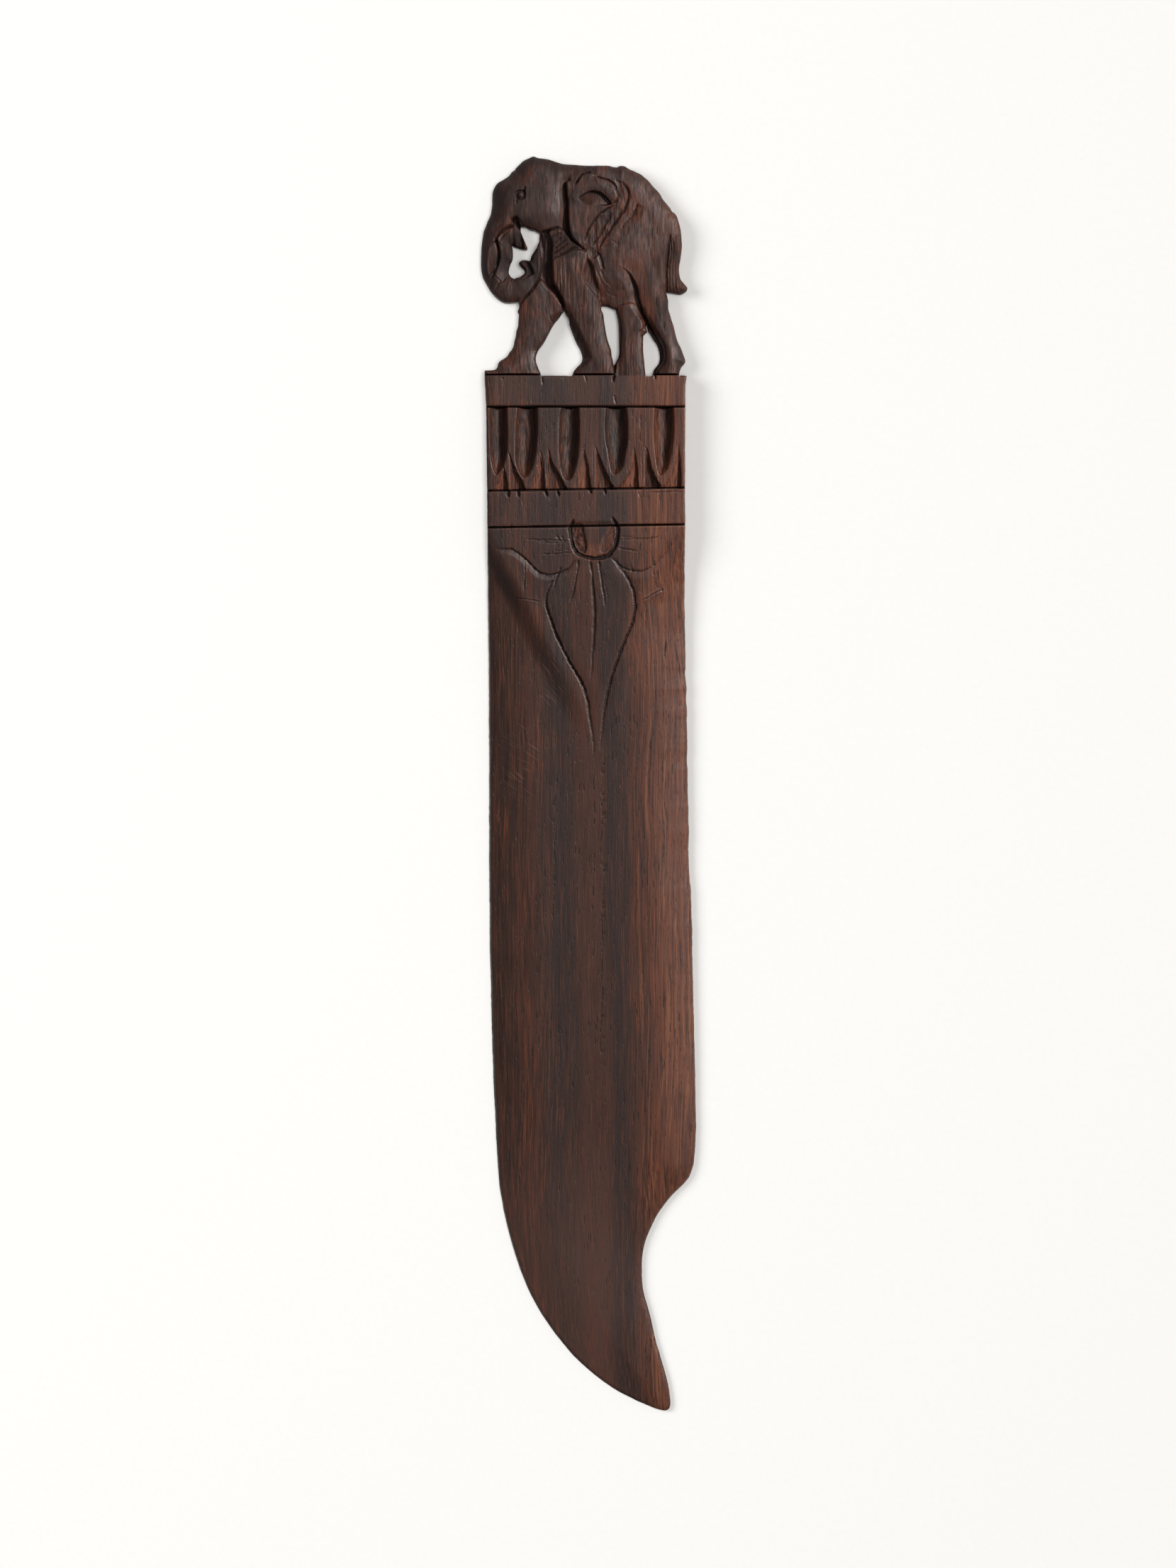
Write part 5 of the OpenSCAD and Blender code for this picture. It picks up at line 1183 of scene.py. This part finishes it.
def wood(name, dark=0.0, fibre=1.0, gloss=0.0, pore=1.0, bands=1.0, rugged=0.0, scratches=0.0, many=0.0, cracks=False, tint=(0.53, 0.40, 0.352), lively=0.75, mottle=0.0):
    """Close-grained dark hardwood; grain runs along Y through every piece."""
    N = Nodes(name)
    co = N.n("TexCoord").outputs["Object"]
    sep = N.n("SeparateXYZ")
    N.put(sep.inputs[0], co)
    X, Y, Z = (N.mul(sep.outputs[i], 1000.0) for i in range(3))
    att = N.n("Attribute", attribute_name="carve", attribute_type="GEOMETRY")
    s2 = N.n("SeparateColor")
    N.put(s2.inputs[0], att.outputs["Color"])
    hollow_shade, torn, warm_and_sheen, cavity_shade = s2.outputs[0], s2.outputs[1], s2.outputs[2], att.outputs["Alpha"]
    painted_sheen = warm_and_sheen
    if rugged:
        patch = N.noise(N.vec(N.mul(X, 0.22), N.mul(Y, 0.10), N.mul(Z, 0.2)), detail=3)
        torn = N.math("MAXIMUM", torn, N.mul(N.span(patch, 0.38, 0.62), rugged))
        warm_and_sheen = N.math("MAXIMUM", warm_and_sheen, N.mul(N.span(patch, 0.52, 0.72), rugged * 0.8))
    # rings of growth cut by the face: depth shifts the figure a little
    bend = N.mul(N.add(N.noise(N.vec(N.mul(X, 0.03), N.mul(Y, 0.012), 3.1), detail=2), -0.5), 7.0)
    fine = N.mul(N.add(N.noise(N.vec(N.mul(X, 0.35), N.mul(Y, 0.03), 7.7), detail=2), -0.5), 1.6)
    XW = N.add(N.add(X, bend), N.add(fine, N.mul(N.add(Z, -4.2), 0.55)))
    low = N.span(Y, -110, 60)  # the figure drifts towards the tip
    XB = N.add(XW, N.mul(N.add(low, -1.0), 1.5))
    u = N.add(N.mul(XB, 1 / 44.0), 0.5)
    mid, grey, brown, light = rgb(88, 63, 55), rgb(64, 55, 56), rgb(92, 65, 56), rgb(126, 84, 66)
    band = N.ramp(u, [(0.0, rgb(72, 57, 53)), (0.10, rgb(80, 62, 56)), (0.22, brown), (0.27, rgb(76, 59, 55)), (0.33, grey), (0.385, rgb(66, 55, 53)), (0.45, rgb(92, 66, 57)),
                      (0.53, rgb(92, 66, 58)), (0.575, grey), (0.65, rgb(74, 60, 58)), (0.69, rgb(104, 72, 60)), (0.78, light), (0.86, rgb(134, 90, 70)), (0.95, light), (1.0, mid)], "EASE")
    plain = rgb(98, 73, 65)
    col = N.mix(bands, plain, band)
    # how lively the figure is, across the width: plain in the middle, streaked at both sides
    grade = lambda v: (v, v, v, 1.0)
    busy = N.ramp(u, [(0.0, grade(0.8)), (0.12, grade(1.0)), (0.25, grade(0.9)), (0.37, grade(0.45)), (0.41, grade(0.25)), (0.51, grade(0.25)), (0.56, grade(0.4)), (0.66, grade(0.6)),
                      (0.72, grade(1.0)), (1.0, grade(1.0))])
    busy = N.mix(bands, grade(lively), busy)
    # streaks
    wx = N.add(XW, N.mul(N.add(N.noise(N.vec(N.mul(X, 0.4), N.mul(Y, 0.22), 61.0), detail=1), -0.5), 0.4))
    st1 = N.noise(N.vec(N.mul(XW, 0.9), N.mul(Y, 0.018), N.mul(Z, 0.5)), detail=3, rough=0.6)
    st2 = N.noise(N.vec(N.mul(XW, 2.6), N.mul(Y, 0.05), N.mul(Z, 1.2)), detail=3, rough=0.62)
    st3 = N.noise(N.vec(N.mul(X, 7.0), N.mul(Y, 0.16), N.mul(Z, 3.0)), detail=2, rough=0.6)
    st4 = N.noise(N.vec(N.add(N.mul(wx, 2.7), 40.0), N.mul(Y, 0.03), N.mul(Z, 1.4)), detail=2, rough=0.55)
    st5 = N.noise(N.vec(N.add(N.mul(wx, 3.6), 90.0), N.mul(Y, 0.10), N.mul(Z, 1.4)), detail=1, rough=0.5)
    where = N.noise(N.vec(N.mul(X, 0.16), N.mul(Y, 0.035), 33.0), detail=2)
    col = N.mix(N.mul(N.mul(N.span(st1, 0.5, 0.68), 0.55), busy), col, rgb(58, 48, 48))
    col = N.mix(N.mul(N.mul(N.span(st1, 0.48, 0.32), 0.45), busy), col, rgb(128, 84, 62))
    col = N.mix(N.mul(N.mul(N.span(st2, 0.52, 0.64), 0.5), busy), col, rgb(50, 39, 37))
    col = N.mix(N.mul(N.mul(N.span(st2, 0.46, 0.36), 0.35), busy), col, rgb(138, 94, 70))
    # thin light streaks: orange and broken in the dark part, tan, long and close together in the light part
    right = N.span(XB, 6.0, 10.5)
    col = N.mix(N.mul(N.mul(N.span(st4, 0.54, 0.62), right), 0.5), col, rgb(178, 130, 92))
    col = N.mix(N.mul(N.mul(N.span(st4, 0.45, 0.38), right), 0.35), col, rgb(90, 58, 47))
    broken = N.mul(N.mul(N.span(st5, 0.60, 0.66), N.span(where, 0.38, 0.58)), busy)
    col = N.mix(N.mul(broken, 0.5), col, rgb(164, 102, 68))
    col = N.mix(N.mul(N.mul(N.span(st5, 0.41, 0.35), 0.6), busy), col, rgb(48, 35, 33))
    col = N.mix(N.mul(N.span(st3, 0.55, 0.68), 0.28), col, rgb(160, 114, 84))
    col = N.mix(N.mul(N.span(st3, 0.45, 0.32), 0.38), col, rgb(44, 32, 30))
    # pores: short dark dashes along the grain, in two sizes
    wig = N.mul(N.add(N.noise(N.vec(N.mul(X, 0.8), N.mul(Y, 0.5), 1.0), detail=1), -0.5), 0.5)
    d1, c1 = N.voro(N.vec(N.mul(N.add(X, wig), 1 / 0.62), N.mul(Y, 1 / 6.0), N.mul(Z, 0.25)))
    d2, c2 = N.voro(N.vec(N.mul(N.add(X, wig), 1 / 0.34), N.mul(Y, 1 / 3.0), N.mul(Z, 0.35)))
    keep = N.noise(N.vec(N.mul(X, 0.12), N.mul(Y, 0.05), 11.0), detail=2)
    p1 = N.mul(N.span(d1, 0.20, 0.11), N.span(keep, 0.38 - many, 0.6 - many))
    p2 = N.mul(N.span(d2, 0.22, 0.12), 0.55)
    pores = N.math("MAXIMUM", p1, p2)
    d3, c3 = N.voro(N.vec(N.mul(N.add(X, wig), 1 / 1.1), N.mul(Y, 1 / 11.0), N.mul(Z, 0.2)))
    p3 = N.mul(N.span(d3, 0.13, 0.06), N.span(keep, 0.40 - many, 0.62 - many))
    pores = N.math("MAXIMUM", pores, p3)
    pores = N.mul(pores, pore, clamp=True)
    if cracks:
        # drying cracks: broken, wandering lines that follow the grain down the blade
        sway = N.sep(N.noise(N.vec(71.0, N.mul(Y, 0.11), 0.0), detail=1, out=1))
        jerk = N.sep(N.noise(N.vec(37.0, N.mul(Y, 0.45), 0.0), detail=2, out=1))
        for x0, lo, hi, k in ((2.6, -72, 6, 0), (0.9, -36, 5, 1), (-6.8, -32, 2, 2), (7.0, -90, -58, 1)):
            at = N.add(N.add(X, N.mul(sway[k], 1.6)), N.mul(jerk[k], 0.5))
            off = N.math("ABSOLUTE", N.add(at, -x0 - 1.05))
            gate = N.mul(N.span(jerk[(k + 1) % 3], 0.46, 0.55), N.mul(N.span(Y, lo, lo + 6), N.span(Y, hi, hi - 5)))
            pores = N.math("MAXIMUM", pores, N.mul(N.span(off, 0.16, 0.06), gate))
    col = N.mix(N.mul(pores, 0.8), col, rgb(26, 15, 11))
    # fibres that were torn or freshly cut are redder; the light flecks on torn fibres are a painted highlight where
    # they catch the light
    fib = N.noise(N.vec(N.mul(X, 3.6), N.mul(Y, 0.34), N.mul(Z, 1.4)), detail=3, rough=0.65)
    col = N.mix(N.mul(warm_and_sheen, N.span(fib, 0.25, 0.8, 0.25, 0.75)), col, rgb(172, 106, 70))
    # painted grey sheen from negative values of the reddish channel
    col = N.mix(N.span(painted_sheen, -0.05, -1.0, 0.0, 0.8), col, rgb(158, 158, 164))
    col = N.mix(N.mul(torn, N.mul(N.span(fib, 0.49, 0.40), 0.85)), col, rgb(22, 14, 12))
    col = N.mix(N.mul(torn, N.mul(N.span(fib, 0.56, 0.64), 0.55)), col, rgb(186, 124, 84))
    if mottle:
        # smoky dark and reddish patches left by handling
        m1 = N.noise(N.vec(N.mul(X, 0.30), N.mul(Y, 0.15), 91.0), detail=4, rough=0.7)
        m2 = N.noise(N.vec(N.mul(X, 0.55), N.mul(Y, 0.22), 97.0), detail=4, rough=0.7)
        col = N.mix(N.mul(N.span(m1, 0.50, 0.62), 0.6 * mottle), col, rgb(52, 38, 38))
        col = N.mix(N.mul(N.span(m2, 0.52, 0.66), 0.5 * mottle), col, rgb(142, 84, 58))
    # painted shade and some dirt in recesses, a painted highlight on ridges, painted shade from the first channel, and
    # random darker blots
    col = N.mix(N.mul(N.span(cavity_shade, 0.05, 0.9), 0.75), col, rgb(24, 15, 12))
    col = N.mix(N.mul(N.span(cavity_shade, -0.08, -0.7), 0.14), col, rgb(150, 108, 88))
    col = N.mix(N.mul(N.span(hollow_shade, 0.05, 1.0), 0.92), col, rgb(30, 12, 8))
    blot = N.noise(N.vec(N.mul(X, 0.12), N.mul(Y, 0.06), 21.0), detail=2)
    col = N.mix(N.mul(N.span(blot, 0.35, 0.75), 0.25), col, rgb(62, 50, 47))
    col = N.mix(1.0, col, tint + (1.0,), "MULTIPLY")
    if cracks:
        col = N.mix(N.mul(N.mul(N.span(Y, -62, -100), N.span(X, 9, 2)), 0.1), col, rgb(150, 112, 100))  # the tip has worn lighter
    if dark:
        col = N.mix(dark, col, rgb(30, 18, 14))
    if scratches:
        # fine slanting scratches left of the flower's foot and below it
        for cx, cy, rx, ry, ca, sa, seed in ((-14.0, 4.5, 4.6, 9.5, 0.81, -0.59, 51.0), (-7.6, 20.5, 3.4, 6.0, 0.62, -0.78, 57.0)):
            along = N.add(N.mul(X, ca), N.mul(Y, sa))
            across = N.add(N.mul(X, -sa), N.mul(Y, ca))
            line = N.noise(N.vec(N.mul(across, 6.5), N.mul(along, 0.2), seed), detail=1)
            dx, dy = N.mul(N.add(X, -cx), 1 / rx), N.mul(N.add(Y, -cy), 1 / ry)
            near = N.span(N.add(N.mul(dx, dx), N.mul(dy, dy)), 1.3, 0.5)
            col = N.mix(N.mul(N.mul(N.mul(N.span(line, 0.62, 0.68), near), N.span(Z, 0.7, 1.4)), scratches), col, rgb(118, 84, 62))
    # bump
    h = N.add(N.mul(st3, 0.35 * fibre), N.mul(pores, -1.0))
    h = N.add(h, N.mul(N.noise(N.vec(N.mul(X, 14), N.mul(Y, 0.9), N.mul(Z, 5)), detail=2), 0.3 * fibre))
    h = N.add(h, N.mul(N.mul(fib, torn), 0.7))
    h = N.add(h, N.mul(N.noise(N.vec(N.mul(X, 2.2), N.mul(Y, 1.3), Z), detail=3), 0.18 * fibre))
    bump = N.n("Bump")
    bump.inputs["Strength"].default_value = 1.0
    bump.inputs["Distance"].default_value = 0.00006
    N.put(bump.inputs["Height"], h)
    rough = N.add(N.mul(N.add(st2, -0.5), 0.25), 0.43 - gloss)
    rough = N.add(rough, N.mul(torn, 0.22))
    rough = N.add(rough, N.mul(pores, 0.2))
    rough = N.add(rough, N.mul(N.span(hollow_shade, 0.2, 0.9), 0.25), clamp=True)
    b = N.n("BsdfPrincipled")
    N.put(b.inputs["Base Color"], col)
    N.put(b.inputs["Roughness"], rough)
    N.put(b.inputs["Normal"], bump.outputs[0])
    b.inputs["IOR"].default_value = 1.5
    b.inputs["Specular IOR Level"].default_value = 0.38
    out = N.n("OutputMaterial")
    N.put(out.inputs[0], b.outputs[0])
    return N.m


CARVED = wood("carved_wood_look", dark=0.2, fibre=1.0, gloss=0.02, bands=0.4, rugged=0.7, many=0.04, tint=(0.515, 0.335, 0.272), lively=0.4, mottle=1.0)
SMOOTH = wood("smooth_wood_look", dark=0.0, fibre=1.0, gloss=0.02, bands=1.0, scratches=0.45, cracks=True)
FRIEZE = wood("frieze_wood_look", dark=0.05, fibre=1.2, gloss=0.05, bands=0.9, rugged=0.25, many=0.06, tint=(0.53, 0.378, 0.312))

# ---- the five pieces -----------------------------------------------------------------
K = 1.0


def dress(ob, node, mat):
    ob.data.materials.append(mat)
    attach(ob, "root")
    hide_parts(node)
    return ob


outer = even(OUTER, True, 0.2)
# keep the straight foot ends exact
outer[outer[:, 1] < FOOT_Y + 0.02, 1] = FOOT_Y
dress(build("carved_elephant", [outer, even(GAP_A, True, 0.2), even(GAP_T, True, 0.18)], inside_elephant, elephant,
            [(-999, 999, 0.142 * K)], foot_rows()), "elephant_finial", CARVED)

loop = plinth_outline()
dress(build("carved_plinth", [loop], lambda P: sd(P, loop, 9), plinth, [(-999, 999, 0.2 * K)], seam_rows(k2)), "plinth_band", SMOOTH)
loop_f = block(k3, k2)
dress(build("carved_frieze", [loop_f], lambda P: sd(P, loop_f, 9), frieze, [(-999, 999, 0.13 * K)],
            np.vstack([seam_rows(k2, side_=-1), seam_rows(k3)]), cavity_shade_gain=0.45), "tongue_frieze", FRIEZE)
loop_c = block(k4, k3)
dress(build("carved_collar", [loop_c], lambda P: sd(P, loop_c, 9), collar, [(-999, 999, 0.17 * K)],
            np.vstack([seam_rows(k3, side_=-1), seam_rows(k4)])), "collar_band", SMOOTH)
dress(build("carved_blade", [BLADE_LOOP], lambda P: sd(P, BLADE_LOOP, 12), blade,
            [(20, 60, 0.2 * K), (4, 20, 0.26 * K), (-999, 4, 0.5 * K)], seam_rows(k4, side_=-1)), "blade", SMOOTH)

# ---- floor, light and camera -----------------------------------------------------------
me = bpy.data.meshes.new("floor")
q = 1.2
me.from_pydata([(-q, -q, -0.0001), (q, -q, -0.0001), (q, q, -0.0001), (-q, q, -0.0001)], [], [(0, 1, 2, 3)])
floor = bpy.data.objects.new("floor", me)
bpy.context.scene.collection.objects.link(floor)
F = Nodes("floor_paper")
fb = F.n("BsdfPrincipled")
tc = F.n("TexCoord").outputs["Object"]
F.put(fb.inputs["Base Color"], F.mix(F.noise(tc, 900.0, 2), (0.90, 0.895, 0.885, 1), (0.93, 0.925, 0.915, 1)))
fb.inputs["Roughness"].default_value = 0.95
fb.inputs["Specular IOR Level"].default_value = 0.1
fo = F.n("OutputMaterial")
F.put(fo.inputs[0], fb.outputs[0])
me.materials.append(F.m)

bpy.context.scene.view_settings.view_transform = "Standard"
world = bpy.data.worlds.new("studio")
bpy.context.scene.world = world
world.use_nodes = True
world.node_tree.nodes["Background"].inputs[0].default_value = (1.0, 0.99, 0.98, 1)
world.node_tree.nodes["Background"].inputs[1].default_value = WORLD


only = {}
for what in ("wood", "floor"):
    only[what] = bpy.data.collections.new("lit_" + what)
for o in bpy.context.scene.objects:
    if o.type == "MESH":
        only["floor" if o.name == "floor" else "wood"].objects.link(o)


def lamp(name, where, at, size, watts, colour, lights):
    d = bpy.data.lights.new(name, "AREA")
    d.shape, d.size, d.energy, d.color = "DISK", size, watts, colour
    o = bpy.data.objects.new(name, d)
    o.location = where
    o.rotation_euler = (Vector(at) - Vector(where)).to_track_quat("-Z", "Y").to_euler()
    bpy.context.scene.collection.objects.link(o)
    o.light_linking.receiver_collection = only[lights]
    return o


for a in LAMPS:
    lamp(*a)

cam = bpy.data.cameras.new("camera")
cam.lens = 135
cam.sensor_fit = "VERTICAL"
cam.sensor_height = 36
cam.sensor_width = 27
cam.clip_start, cam.clip_end = 0.01, 20
co = bpy.data.objects.new("camera", cam)
co.location = (CAM_X, CAM_Y, 0.004 + 0.3119 * 135 / 36)
co.rotation_euler = (0, 0, 0)
bpy.context.scene.collection.objects.link(co)
bpy.context.scene.camera = co

bpy.context.view_layer.update()
